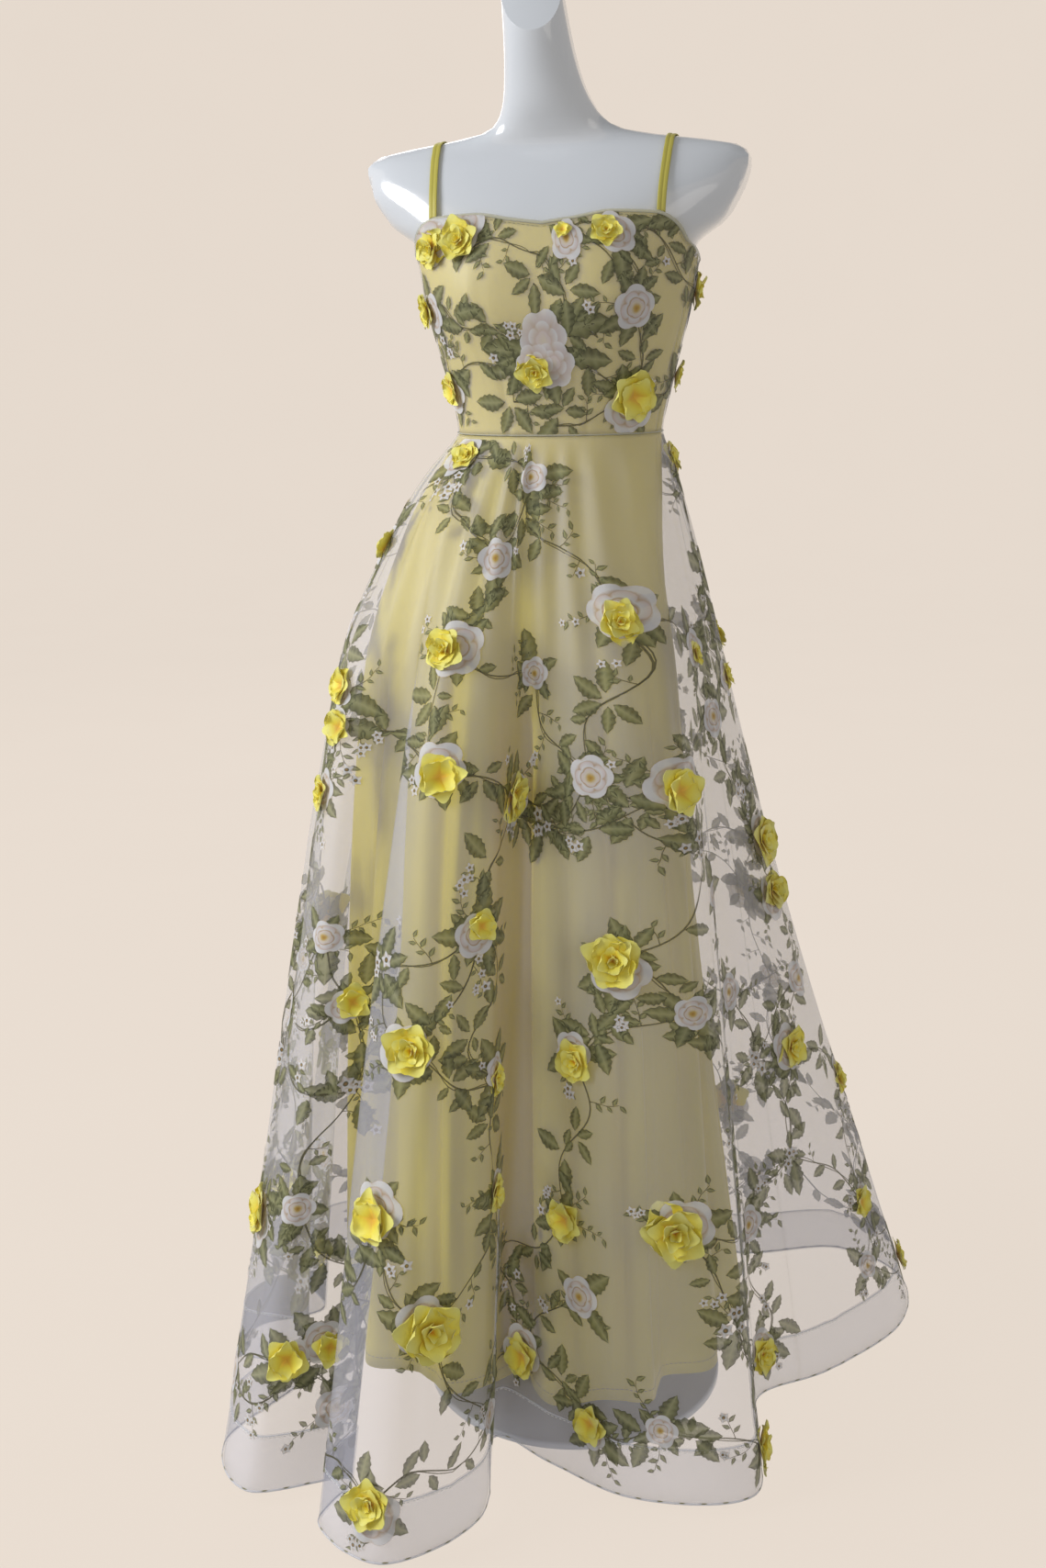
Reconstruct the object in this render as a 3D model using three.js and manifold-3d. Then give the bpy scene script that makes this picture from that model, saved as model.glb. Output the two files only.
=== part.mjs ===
// A-line maxi dress with thin shoulder straps, worn by a limbless dress form on a round stand.
// A satin bodice and lining skirt lie under a sheer organza layer that carries sewn-on cloth blooms.
// Units are millimetres. +Z is up, the dress faces -Y, and the origin is on the floor, on the stand's axis.
// Angles turn about +Z from the front (-Y) towards the wearer's left (+X). A share is a part of a full turn.
import * as THREE from "three";
import Module from "manifold-3d";
import { mergeVertices } from "three/addons/utils/BufferGeometryUtils.js";

const wasm = await Module();
wasm.setup();

// ---------------------------------------------------------------- driving dimensions
const WAIST_Z = 1075;
const HEM_Z = 14;
const LINING_HEM_Z = 72;
const FACING_TOP_Z = 70;
const SEAM_GAP = 0.3;
const WAIST_GAP = 0.6;
const FORM_EASE = 3.0;
const FORM_SKIN = 1.0;
const LINING_WALL = 1.2;
const OVERLAY_WALL = 1.2;
const FACING_WALL = 1.0;
const LAYER_GAP = 0.5;
const LAYER_FALL = 3;
const LAYER_FALL_HEIGHT = 60;
const SOFTEST_BEND = 6;
const SIDE_SEAM = 80;
// The waist gathers: how many, how deep, and how far below the waist they are full, start to fade and end.
const GATHERS = { count: 30, depth: 2.4, full: 45, fadeFrom: 90, fadeTo: 420 };
const STRAP = { width: 9, thick: 1.6, frontX: 119, topX: 125, backX: 104, topLift: 0.9, endLift: 2.6 };
const STRAP_CENTRE = { y: 4, z: 1304 };
const STRAP_STEPS = 24;
const STRAP_END_PART = 0.2;
const FORM_FOOT_Z = 800;
const POLE_RADIUS = 12.5;
const POLE_DEPTH_IN_FORM = 40;
const BASE = { radius: 165, thick: 8, bevel: 3, collar: 20, collarTop: 38 };
const ZIP = { dropFromTop: 12, bodyX: 7, bodyY: 1.6, bodyZ: 11, axisOut: 2.3, pin: 0.6, eye: 0.95 };
const ZIP_LUG = { x: 1.2, y: 3.9, z: 3, sunk: 0.2 };
const ZIP_PULL = { length: 18, neck: 1.5, belly: 2.8, thick: 1.2, eyeOuter: 1.85, belowTop: 0.4 };

// ---------------------------------------------------------------- tables
// The dress form: centre, half width, front and back half depth and squareness of its outline by height.
const FORM = [
  { z: 800, x: -50, y: 6, width: 150, front: 92, back: 104, square: 2.3 },
  { z: 893, x: -45, y: 6, width: 147, front: 93, back: 112, square: 2.3 },
  { z: 968, x: -29, y: 4, width: 131, front: 90, back: 104, square: 2.2 },
  { z: 1028, x: -11, y: 1, width: 114, front: 84, back: 90, square: 2.1 },
  { z: 1075, x: -1, y: 0, width: 106, front: 80, back: 82, square: 2.05 },
  { z: 1118, x: 0, y: 0, width: 113, front: 84, back: 87, square: 2.1 },
  { z: 1160, x: 0, y: 0, width: 124, front: 92, back: 95, square: 2.2 },
  { z: 1212, x: 0, y: 0, width: 137, front: 105, back: 101, square: 2.2 },
  { z: 1245, x: 0, y: 0, width: 143, front: 103, back: 103, square: 2.25 },
  { z: 1272, x: 0, y: 0, width: 149, front: 96, back: 103, square: 2.35 },
  { z: 1300, x: 0, y: 2, width: 183, front: 86, back: 101, square: 2.4 },
  { z: 1337, x: 0, y: 4, width: 210, front: 70, back: 93, square: 2.5 },
  { z: 1364, x: 0, y: 6, width: 216, front: 54, back: 76, square: 2.4 },
  { z: 1377, x: 0, y: 5, width: 198, front: 42, back: 58, square: 2.2 },
  { z: 1386, x: -1, y: 1, width: 128, front: 38, back: 50, square: 2.0 },
  { z: 1397, x: -2, y: -6, width: 72, front: 38, back: 47, square: 2.0 },
  { z: 1416, x: -4, y: -18, width: 53, front: 39, back: 45, square: 2.0 },
  { z: 1445, x: -7, y: -32, width: 43, front: 37, back: 42, square: 2.0 },
  { z: 1486, x: -10, y: -46, width: 37, front: 36, back: 39, square: 2.0 },
  { z: 1545, x: -14, y: -57, width: 33, front: 34, back: 36, square: 2.0 },
  { z: 1604, x: -16, y: -63, width: 31, front: 32, back: 34, square: 2.0 },
];
const FORM_RINGS = [
  800, 880, 940, 990, 1030, 1075, 1120, 1165, 1205, 1240, 1264, 1278, 1290, 1302, 1318, 1337, 1356, 1369,
  1379, 1386, 1394, 1410, 1445, 1490, 1604,
];
const FORM_SIDES = 36;
const CUP = { angle: 36, z: 1226, rise: 9, spread: 21, tall: 46 };
const ARM_FACE = { share: 0.045, from: 1285, to: 1330 };
// The neck ends in a flat face that looks forward and up: its lowest and highest points.
const NECK_FACE = { lowY: -82, lowZ: 1488, highY: -30, highZ: 1598, size: 300 };

// The bodice's top edge: almost straight over the bust, down under the arm and straight across the back.
const NECKLINE = [
  { angle: 0, z: 1293 },
  { angle: 22, z: 1298 },
  { angle: 42, z: 1304 },
  { angle: 57, z: 1303 },
  { angle: 72, z: 1279 },
  { angle: 90, z: 1262 },
  { angle: 120, z: 1252 },
  { angle: 180, z: 1246 },
];

// The heights that the skirts' folds are given at.
const LEVELS = { hem: HEM_Z, mid: 530, high: 810, hip: 970 };
// The organza skirt: a row for each fold line, with its angle and its distance from the axis at each height.
const OVERLAY_FOLDS = [
  { hip: [4, 112], high: [5, 152], mid: [4, 188], hem: [2, 208] },
  { hip: [16, 117], high: [17, 170], mid: [18, 222], hem: [20, 266] },
  { hip: [30, 124], high: [31, 186], mid: [34, 246], hem: [36, 308] },
  { hip: [43, 129], high: [45, 190], mid: [45, 250], hem: [46, 314] },
  { hip: [57, 126], high: [58, 172], mid: [56, 210], hem: [57, 262] },
  { hip: [71, 124], high: [72, 158], mid: [70, 190], hem: [76, 222] },
  { hip: [85, 130], high: [86, 164], mid: [86, 210], hem: [92, 290] },
  { hip: [99, 137], high: [101, 176], mid: [103, 244], hem: [108, 388] },
  { hip: [113, 140], high: [115, 184], mid: [118, 262], hem: [122, 436] },
  { hip: [127, 139], high: [129, 184], mid: [132, 256], hem: [135, 410] },
  { hip: [142, 136], high: [144, 178], mid: [146, 224], hem: [148, 304] },
  { hip: [155, 138], high: [157, 198], mid: [159, 278], hem: [161, 388] },
  { hip: [168, 141], high: [170, 204], mid: [172, 286], hem: [174, 396] },
  { hip: [181, 140], high: [183, 190], mid: [185, 232], hem: [187, 298] },
  { hip: [194, 144], high: [195, 210], mid: [197, 290], hem: [199, 392] },
  { hip: [207, 147], high: [208, 216], mid: [210, 296], hem: [212, 402] },
  { hip: [220, 151], high: [222, 206], mid: [224, 244], hem: [226, 302] },
  { hip: [232, 160], high: [234, 228], mid: [236, 304], hem: [238, 396] },
  { hip: [243, 169], high: [246, 238], mid: [249, 312], hem: [251, 408] },
  { hip: [254, 175], high: [256, 240], mid: [259, 276], hem: [262, 318] },
  { hip: [264, 180], high: [266, 250], mid: [269, 300], hem: [271, 380] },
  { hip: [272, 182], high: [274, 254], mid: [278, 304], hem: [280, 388] },
  { hip: [281, 181], high: [283, 248], mid: [286, 280], hem: [288, 306] },
  { hip: [291, 178], high: [296, 252], mid: [300, 306], hem: [304, 408] },
  { hip: [300, 172], high: [306, 246], mid: [312, 302], hem: [317, 420] },
  { hip: [311, 162], high: [318, 206], mid: [322, 238], hem: [325, 330] },
  { hip: [322, 152], high: [328, 222], mid: [329, 296], hem: [330, 398] },
  { hip: [333, 142], high: [338, 220], mid: [341, 298], hem: [343, 408] },
  { hip: [344, 128], high: [350, 188], mid: [352, 250], hem: [352, 310] },
  { hip: [353, 116], high: [354, 150], mid: [352, 168], hem: [342, 186] },
];
// The lining skirt: its folds fall straight, so each keeps one angle and has a distance at each height.
const LINING_FOLDS = [
  { angle: -80, hip: 172, high: 222, mid: 246, hem: 262 },
  { angle: -66, hip: 164, high: 206, mid: 222, hem: 228 },
  { angle: -52, hip: 152, high: 202, mid: 234, hem: 256 },
  { angle: -40, hip: 140, high: 178, mid: 204, hem: 216 },
  { angle: -28, hip: 126, high: 166, mid: 200, hem: 222 },
  { angle: -12, hip: 106, high: 130, mid: 148, hem: 152 },
  { angle: 4, hip: 104, high: 143, mid: 180, hem: 200 },
  { angle: 18, hip: 103, high: 139, mid: 172, hem: 191 },
  { angle: 32, hip: 107, high: 143, mid: 182, hem: 208 },
  { angle: 43, hip: 106, high: 134, mid: 162, hem: 174 },
  { angle: 58, hip: 108, high: 134, mid: 168, hem: 198 },
  { angle: 78, hip: 107, high: 126, mid: 142, hem: 172 },
  { angle: 100, hip: 107, high: 123, mid: 142, hem: 192 },
  { angle: 125, hip: 110, high: 128, mid: 154, hem: 208 },
  { angle: 145, hip: 113, high: 131, mid: 150, hem: 182 },
  { angle: 165, hip: 118, high: 144, mid: 178, hem: 224 },
  { angle: 185, hip: 121, high: 146, mid: 172, hem: 196 },
  { angle: 205, hip: 128, high: 160, mid: 196, hem: 238 },
  { angle: 228, hip: 142, high: 174, mid: 200, hem: 214 },
  { angle: 250, hip: 158, high: 198, mid: 232, hem: 254 },
  { angle: 266, hip: 167, high: 209, mid: 228, hem: 236 },
];
const OVERLAY_ROWS = [HEM_Z, 72, 190, 360, 560, 760, 920, 1030];
const LINING_ROWS = [LINING_HEM_Z, 240, 450, 680, 880, 940, 1030];
const BODICE_ROWS = [0, 0.17, 0.34, 0.52, 0.7, 0.86, 1];
const COLUMNS = { overlay: 120, lining: 60, bodice: 36 };

// Cloth blooms on the parts of the dress that face forward, by share of the way round, height and radius.
const BODICE_BLOOMS = [
  { around: -0.167, z: 1272, radius: 23 },
  { around: -0.125, z: 1277, radius: 23 },
  { around: 0.1, z: 1282, radius: 17 },
  { around: 0.037, z: 1283, radius: 9 },
  { around: -0.196, z: 1209, radius: 20 },
  { around: -0.193, z: 1125, radius: 19 },
  { around: -0.018, z: 1143, radius: 20 },
  { around: 0.154, z: 1116, radius: 27 },
  { around: 0.267, z: 1226, radius: 22 },
  { around: 0.267, z: 1137, radius: 18 },
];
const SKIRT_BLOOMS = [
  { around: -0.152, z: 1053, radius: 17 },
  { around: 0.219, z: 1044, radius: 20 },
  { around: -0.103, z: 864, radius: 24 },
  { around: 0.07, z: 888, radius: 24 },
  { around: -0.243, z: 954, radius: 18 },
  { around: -0.197, z: 816, radius: 20 },
  { around: -0.19, z: 774, radius: 20 },
  { around: -0.204, z: 702, radius: 20 },
  { around: -0.094, z: 744, radius: 24 },
  { around: 0.084, z: 720, radius: 25 },
  { around: -0.032, z: 714, radius: 28 },
  { around: 0.147, z: 840, radius: 14 },
  { around: 0.215, z: 804, radius: 16 },
  { around: 0.203, z: 564, radius: 24 },
  { around: -0.065, z: 600, radius: 16 },
  { around: 0.047, z: 558, radius: 30 },
  { around: 0.187, z: 390, radius: 24 },
  { around: -0.097, z: 486, radius: 26 },
  { around: -0.052, z: 444, radius: 16 },
  { around: 0.026, z: 450, radius: 22 },
  { around: -0.169, z: 498, radius: 18 },
  { around: -0.205, z: 270, radius: 27 },
  { around: -0.108, z: 324, radius: 26 },
  { around: 0.019, z: 282, radius: 22 },
  { around: 0.064, z: 288, radius: 32 },
  { around: -0.05, z: 330, radius: 18 },
  { around: 0.211, z: 180, radius: 18 },
  { around: 0.244, z: 60, radius: 20 },
  { around: -0.177, z: 144, radius: 22 },
  { around: -0.162, z: 150, radius: 18 },
  { around: -0.082, z: 222, radius: 32 },
  { around: -0.003, z: 114, radius: 24 },
  { around: 0.145, z: 58, radius: 22 },
  { around: 0.029, z: 78, radius: 20 },
  { around: 0.096, z: 44, radius: 26 },
  { around: -0.1, z: 66, radius: 24 },
];
// Blooms are strewn over the back by rule: how many on each back panel, between which heights.
const STREWN_SKIRT = { count: 10, low: 60, high: 1020, spread: 1.25, taken: SKIRT_BLOOMS };
const STREWN_BODICE = { count: 2, low: 1105, high: 1222, spread: 1, taken: BODICE_BLOOMS };
const BLOOM = { petals: 5, notchedFrom: 24, notch: 0.6, tipRise: 4.5, notchRise: 3, heart: 7 };
const BLOOM_ROOT = 2.5;
const BLOOM_MARGIN = 6;
const CORE_DEPTH = 4;

// ---------------------------------------------------------------- finishes
const finish = (color, roughness, metalness = 0) =>
  new THREE.MeshStandardMaterial({ color, roughness, metalness, side: THREE.DoubleSide });
const SATIN = finish("#cdbd78", 0.42);
const ORGANZA = finish("#cfcfc4", 0.6);
const STRAP_SATIN = finish("#b7a753", 0.45);
const GLOSS_WHITE = finish("#e8eaec", 0.25);
const LACQUERED_STEEL = finish("#dfe1e3", 0.35, 0.2);
const ZIP_METAL = finish("#c2b25c", 0.3, 0.6);

// ---------------------------------------------------------------- small helpers
const radians = (degrees) => (degrees * Math.PI) / 180;
const degrees = (angle) => (angle * 180) / Math.PI;
const mix = (a, b, t) => a + (b - a) * t;
const clamp = (x, low, high) => Math.min(high, Math.max(low, x));
const smooth = (low, high, x) => {
  const t = clamp((x - low) / (high - low), 0, 1);
  return t * t * (3 - 2 * t);
};
const fraction = (x) => x - Math.floor(x);
const polar = (angle, radius, z) =>
  new THREE.Vector3(radius * Math.sin(angle), -radius * Math.cos(angle), z);
const angleOf = (point) => Math.atan2(point.x, -point.y);

// The value at x of a curve through the given knots that never overshoots them (monotone cubic).
function curve(xs, ys, x) {
  const slopes = xs.slice(1).map((knot, i) => (ys[i + 1] - ys[i]) / (knot - xs[i]));
  const tangent = (i) => {
    if (i === 0) return slopes[0];
    if (i === slopes.length) return slopes[i - 1];
    const [before, after] = [slopes[i - 1], slopes[i]];
    return before * after <= 0 ? 0 : (2 * before * after) / (before + after);
  };
  let i = 0;
  while (i < slopes.length - 1 && xs[i + 1] <= x) i++;
  const step = xs[i + 1] - xs[i];
  const t = clamp((x - xs[i]) / step, 0, 1);
  return (
    (1 + 2 * t) * (1 - t) ** 2 * ys[i] +
    t * (1 - t) ** 2 * step * tangent(i) +
    t * t * (3 - 2 * t) * ys[i + 1] +
    t * t * (t - 1) * step * tangent(i + 1)
  );
}

const column = (rows, key, name) => {
  const xs = rows.map((row) => row[key]);
  const ys = rows.map((row) => row[name]);
  return (x) => curve(xs, ys, x);
};

// The x for which a function that grows from low to high reaches a value.
function solve(low, high, reached) {
  for (let i = 0; i < 40; i++) {
    const middle = (low + high) / 2;
    if (reached(middle)) high = middle;
    else low = middle;
  }
  return (low + high) / 2;
}

// ---------------------------------------------------------------- the dress form's surface
const formColumn = Object.fromEntries(
  ["x", "y", "width", "front", "back", "square"].map((name) => [name, column(FORM, "z", name)]),
);

function cupRise(angle, z) {
  const turn = Math.abs(Math.atan2(Math.sin(angle), Math.cos(angle)));
  const aside = (turn - radians(CUP.angle)) / radians(CUP.spread);
  const up = (z - CUP.z) / CUP.tall;
  return CUP.rise * Math.exp(-aside * aside - up * up);
}

// A point of the form by share of the way round, the form grown by the given amount.
// Above the armpits its sides end in flat faces.
function formPoint(share, z, out = 0) {
  const angle = 2 * Math.PI * share;
  const [sin, cos] = [Math.sin(angle), Math.cos(angle)];
  const width = formColumn.width(z) + out;
  const depth = (cos > 0 ? formColumn.front(z) : formColumn.back(z)) + out;
  const power = formColumn.square(z);
  const sum = Math.abs(sin / width) ** power + Math.abs(cos / depth) ** power;
  const radius = sum ** (-1 / power) + cupRise(angle, z);
  const reach = width * (1 - ARM_FACE.share * smooth(ARM_FACE.from, ARM_FACE.to, z));
  return new THREE.Vector3(
    formColumn.x(z) + clamp(radius * sin, -reach, reach),
    formColumn.y(z) - radius * cos,
    z,
  );
}

// Below 1 inside the form, above 1 outside it, the form grown by the given amount.
function formLevel(point, out) {
  const z = Math.max(point.z, FORM_FOOT_Z);
  const aside = point.x - formColumn.x(z);
  const behind = point.y - formColumn.y(z);
  const depth = (behind < 0 ? formColumn.front(z) : formColumn.back(z)) + out;
  const power = formColumn.square(z);
  return Math.abs(aside / (formColumn.width(z) + out)) ** power + Math.abs(behind / depth) ** power;
}

// How far the grown form reaches from the axis at an angle.
const formReach = (angle, z, out) =>
  solve(0, 400, (radius) => formLevel(polar(angle, radius, z), out) > 1);

// ---------------------------------------------------------------- the skirts' surfaces
// Keeps a distance at or above the least one, bending smoothly where it comes near it.
function keepOut(radius, least, z) {
  const soft = clamp((WAIST_Z - z) / 10, 0.05, SOFTEST_BEND);
  if (radius > least + soft) return radius;
  return least + soft * Math.exp((radius - least - soft) / soft);
}

const LEVEL_NAMES = ["hem", "mid", "high", "hip"];
const LEVEL_HEIGHTS = [LEVELS.mid, LEVELS.high, LEVELS.hip, WAIST_Z];

// The lining folds' distance at one level, eased from fold to fold.
function liningRing(angle, level) {
  const first = LINING_FOLDS[0].angle;
  const turn = first + 360 * fraction((degrees(angle) - first) / 360);
  const rows = [...LINING_FOLDS, { ...LINING_FOLDS[0], angle: first + 360 }];
  const next = rows.findIndex((row) => row.angle > turn);
  const [a, b] = [rows[next - 1], rows[next]];
  return mix(a[level], b[level], smooth(a.angle, b.angle, turn));
}

function liningRadius(angle, z) {
  const out = FORM_EASE + LINING_WALL;
  const rings = LEVEL_NAMES.map((level) => liningRing(angle, level));
  const waist = formReach(angle, WAIST_Z, out);
  const radius = curve([LINING_HEM_Z, ...LEVEL_HEIGHTS], [...rings, waist], z);
  return keepOut(radius, formReach(angle, z, out), z);
}

const liningPoint = (share, z) =>
  polar(2 * Math.PI * share, liningRadius(2 * Math.PI * share, z), z);

// A point of the smooth closed curve through the organza folds at one level. A place counts fold rows.
function foldPoint(place, level) {
  const count = OVERLAY_FOLDS.length;
  const row = Math.floor(place);
  const t = place - row;
  const knot = (k) => {
    const [angle, radius] = OVERLAY_FOLDS[(((row + k) % count) + count) % count][level];
    return polar(radians(angle), radius, 0);
  };
  return new THREE.Vector3()
    .addScaledVector(knot(-1), -0.5 * t + t * t - 0.5 * t ** 3)
    .addScaledVector(knot(0), 1 - 2.5 * t * t + 1.5 * t ** 3)
    .addScaledVector(knot(1), 0.5 * t + 2 * t * t - 1.5 * t ** 3)
    .addScaledVector(knot(2), -0.5 * t * t + 0.5 * t ** 3);
}

// Length along the organza's hem from the first fold row to each of many even places.
const HEM_STEPS = 3000;
const hemLength = [0];
for (let i = 1; i <= HEM_STEPS; i++) {
  const [a, b] = [i - 1, i].map((step) => (step * OVERLAY_FOLDS.length) / HEM_STEPS);
  hemLength.push(hemLength[i - 1] + foldPoint(a, "hem").distanceTo(foldPoint(b, "hem")));
}
const shareOfPlace = (place) => {
  const turns = place / OVERLAY_FOLDS.length;
  const step = Math.round(fraction(turns) * HEM_STEPS);
  return Math.floor(turns) + hemLength[step] / hemLength[HEM_STEPS];
};
const placeOfShare = (share) => {
  const length = fraction(share) * hemLength[HEM_STEPS];
  let [low, high] = [0, HEM_STEPS];
  while (high - low > 1) {
    const middle = (low + high) >> 1;
    if (hemLength[middle] <= length) low = middle;
    else high = middle;
  }
  const part = (length - hemLength[low]) / (hemLength[high] - hemLength[low]);
  return ((low + part) * OVERLAY_FOLDS.length) / HEM_STEPS;
};
// The place where the folds pass an angle at the hips, counted in degrees from the front.
const hipTurn = (place) => {
  const turn = degrees(angleOf(foldPoint(place, "hip")));
  const rough = (360 * place) / OVERLAY_FOLDS.length;
  return turn + 360 * Math.round((rough - turn) / 360);
};
const placeAtAngle = (angle) =>
  solve(-OVERLAY_FOLDS.length, OVERLAY_FOLDS.length, (place) => hipTurn(place) > angle);
const FRONT_SHARE = shareOfPlace(placeAtAngle(0));

// A point of the organza skirt by share of its hem's length from the centre front.
function overlayPoint(share, z) {
  const place = placeOfShare(share + FRONT_SHARE);
  const points = LEVEL_NAMES.map((level) => foldPoint(place, level));
  const hipAngle = angleOf(points[3]);
  const out = FORM_EASE + LINING_WALL + LAYER_GAP + OVERLAY_WALL;
  points.push(polar(hipAngle, formReach(hipAngle, WAIST_Z, out), 0));
  const heights = [LEVELS.hem, ...LEVEL_HEIGHTS];
  const x = curve(heights, points.map((point) => point.x), z);
  const y = curve(heights, points.map((point) => point.y), z);
  const angle = Math.atan2(x, -y);
  const fall = LAYER_FALL * smooth(0, LAYER_FALL_HEIGHT, WAIST_Z - z);
  const least = liningRadius(angle, Math.max(z, LINING_HEM_Z)) + LAYER_GAP + OVERLAY_WALL + fall;
  const radius = keepOut(Math.hypot(x, y), least, z);
  return polar(angle, radius + gatherRise(share, z), z);
}

// Small gathers fall from the waist seam and fade out over the hips.
function gatherRise(share, z) {
  const below = WAIST_Z - z;
  const fading = 1 - smooth(GATHERS.fadeFrom, GATHERS.fadeTo, below);
  const depth = GATHERS.depth * smooth(0, GATHERS.full, below) * fading;
  return depth * (1 + Math.cos(2 * Math.PI * GATHERS.count * share));
}

// ---------------------------------------------------------------- walls of cloth
function indexed(points, faces) {
  return new THREE.BufferGeometry().setFromPoints(points).setIndex(faces);
}

// One closed mesh from a grid of outer points and a grid of inner points, rows from the bottom up.
function closedWall(outer, inner) {
  const rows = outer.length;
  const width = outer[0].length;
  const faces = [];
  const out = (i, j) => i * width + j;
  const into = (i, j) => (rows + i) * width + j;
  const quad = (a, b, c, d) => faces.push(a, b, c, a, c, d);
  for (let i = 0; i < rows - 1; i++)
    for (let j = 0; j < width - 1; j++) {
      quad(out(i, j), out(i, j + 1), out(i + 1, j + 1), out(i + 1, j));
      quad(into(i, j), into(i + 1, j), into(i + 1, j + 1), into(i, j + 1));
    }
  const [top, end] = [rows - 1, width - 1];
  for (let j = 0; j < end; j++) {
    quad(out(0, j), into(0, j), into(0, j + 1), out(0, j + 1));
    quad(out(top, j), out(top, j + 1), into(top, j + 1), into(top, j));
  }
  for (let i = 0; i < top; i++) {
    quad(out(i, 0), out(i + 1, 0), into(i + 1, 0), into(i, 0));
    quad(out(i, end), into(i, end), into(i + 1, end), out(i + 1, end));
  }
  return indexed([...outer.flat(), ...inner.flat()], faces);
}

function surfaceNormal(surface, share, z) {
  const [aside, up] = [4e-4, 1];
  const along = surface(share + aside, z).sub(surface(share - aside, z));
  const rising = surface(share, z + up).sub(surface(share, z - up));
  return along.cross(rising).normalize();
}

// A panel on a surface: its outer face is lifted off the surface, and its wall goes in from there.
// Rows are heights, or functions that give a row's height by share.
function makePanel({ surface, from, to, columns, rows, lift, wall }) {
  const rowHeight = (i, share) => (typeof rows[i] === "function" ? rows[i](share) : rows[i]);
  const outer = [];
  const inner = [];
  for (let i = 0; i < rows.length; i++) {
    outer.push([]);
    inner.push([]);
    for (let j = 0; j <= columns; j++) {
      const even = mix(from, to, j / columns);
      const z = rowHeight(i, even);
      const step = 1e-3;
      const speed = surface(even + step, z).distanceTo(surface(even - step, z)) / (2 * step);
      const inset = SEAM_GAP / 2 / speed;
      const share = clamp(even, from + inset, to - inset);
      const point = surface(share, z);
      const normal = surfaceNormal(surface, share, z);
      outer[i].push(point.clone().addScaledVector(normal, lift));
      inner[i].push(point.clone().addScaledVector(normal, lift - wall));
    }
  }
  return { surface, from, to, columns, rows, rowHeight, outer, inner, wall };
}

// A point on the flat faces of a panel's outer grid, and its outward direction.
function panelPoint(panel, share, z) {
  const across = clamp(((share - panel.from) / (panel.to - panel.from)) * panel.columns, 0, panel.columns);
  const j = Math.min(Math.floor(across), panel.columns - 1);
  let i = 0;
  while (i < panel.rows.length - 2 && panel.rowHeight(i + 1, share) < z) i++;
  const [low, high] = [panel.rowHeight(i, share), panel.rowHeight(i + 1, share)];
  const up = clamp((z - low) / (high - low), 0, 1);
  const right = across - j;
  const onFace = (grid) => {
    const [a, b, c, d] = [grid[i][j], grid[i][j + 1], grid[i + 1][j + 1], grid[i + 1][j]];
    const point = a.clone();
    if (right >= up) return point.addScaledVector(b, right).addScaledVector(a, -right)
      .addScaledVector(c, up).addScaledVector(b, -up);
    return point.addScaledVector(d, up).addScaledVector(a, -up)
      .addScaledVector(c, right).addScaledVector(d, -right);
  };
  const point = onFace(panel.outer);
  const normal = point.clone().sub(onFace(panel.inner)).normalize();
  return { point, normal };
}

function solidOf(geometry) {
  const bare = geometry.clone();
  bare.deleteAttribute("normal");
  bare.deleteAttribute("uv");
  const merged = mergeVertices(bare, 1e-4);
  const vertProperties = new Float32Array(merged.attributes.position.array);
  const triVerts = new Uint32Array(merged.index.array);
  return new wasm.Manifold(new wasm.Mesh({ numProp: 3, vertProperties, triVerts }));
}

function geometryOf(solid) {
  const { numProp, numVert, vertProperties, triVerts } = solid.getMesh();
  const position = new Float32Array(numVert * 3);
  for (let i = 0; i < numVert; i++)
    position.set(vertProperties.subarray(i * numProp, i * numProp + 3), i * 3);
  return new THREE.BufferGeometry()
    .setAttribute("position", new THREE.BufferAttribute(position, 3))
    .setIndex(new THREE.BufferAttribute(triVerts, 1));
}

// One five-petalled bloom, rooted under the panel's outer face.
function bloomSolid(panel, { around, z, radius }, turn) {
  const nearby = 0.004;
  const across = panel.surface(around + nearby, z).distanceTo(panel.surface(around - nearby, z));
  const upward = panel.surface(around, z + 5).distanceTo(panel.surface(around, z - 5));
  const put = (aside, up, rise) => {
    const share = around + (aside * 2 * nearby) / across;
    const { point, normal } = panelPoint(panel, share, z + (up * 10) / upward);
    return point.addScaledVector(normal, rise);
  };
  // A small bloom keeps only its petals' tips, and a larger one is notched between them.
  const step = radius < BLOOM.notchedFrom ? 2 : 1;
  const sides = (2 * BLOOM.petals) / step;
  const points = [put(0, 0, BLOOM.heart), put(0, 0, -BLOOM_ROOT)];
  const faces = [];
  for (let k = 0; k < sides; k++) {
    const notched = (k * step) % 2 === 1;
    const angle = turn + (k * step * Math.PI) / BLOOM.petals;
    const reach = radius * (notched ? BLOOM.notch : 1);
    const [aside, up] = [reach * Math.cos(angle), reach * Math.sin(angle)];
    points.push(put(aside, up, notched ? BLOOM.notchRise : BLOOM.tipRise), put(aside, up, -BLOOM_ROOT));
    const [high, low] = [2 + 2 * k, 3 + 2 * k];
    const [nextHigh, nextLow] = [2 + 2 * ((k + 1) % sides), 3 + 2 * ((k + 1) % sides)];
    faces.push(0, high, nextHigh, 1, nextLow, low);
    faces.push(low, nextLow, nextHigh, low, nextHigh, high);
  }
  return solidOf(indexed(points, faces));
}

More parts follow.
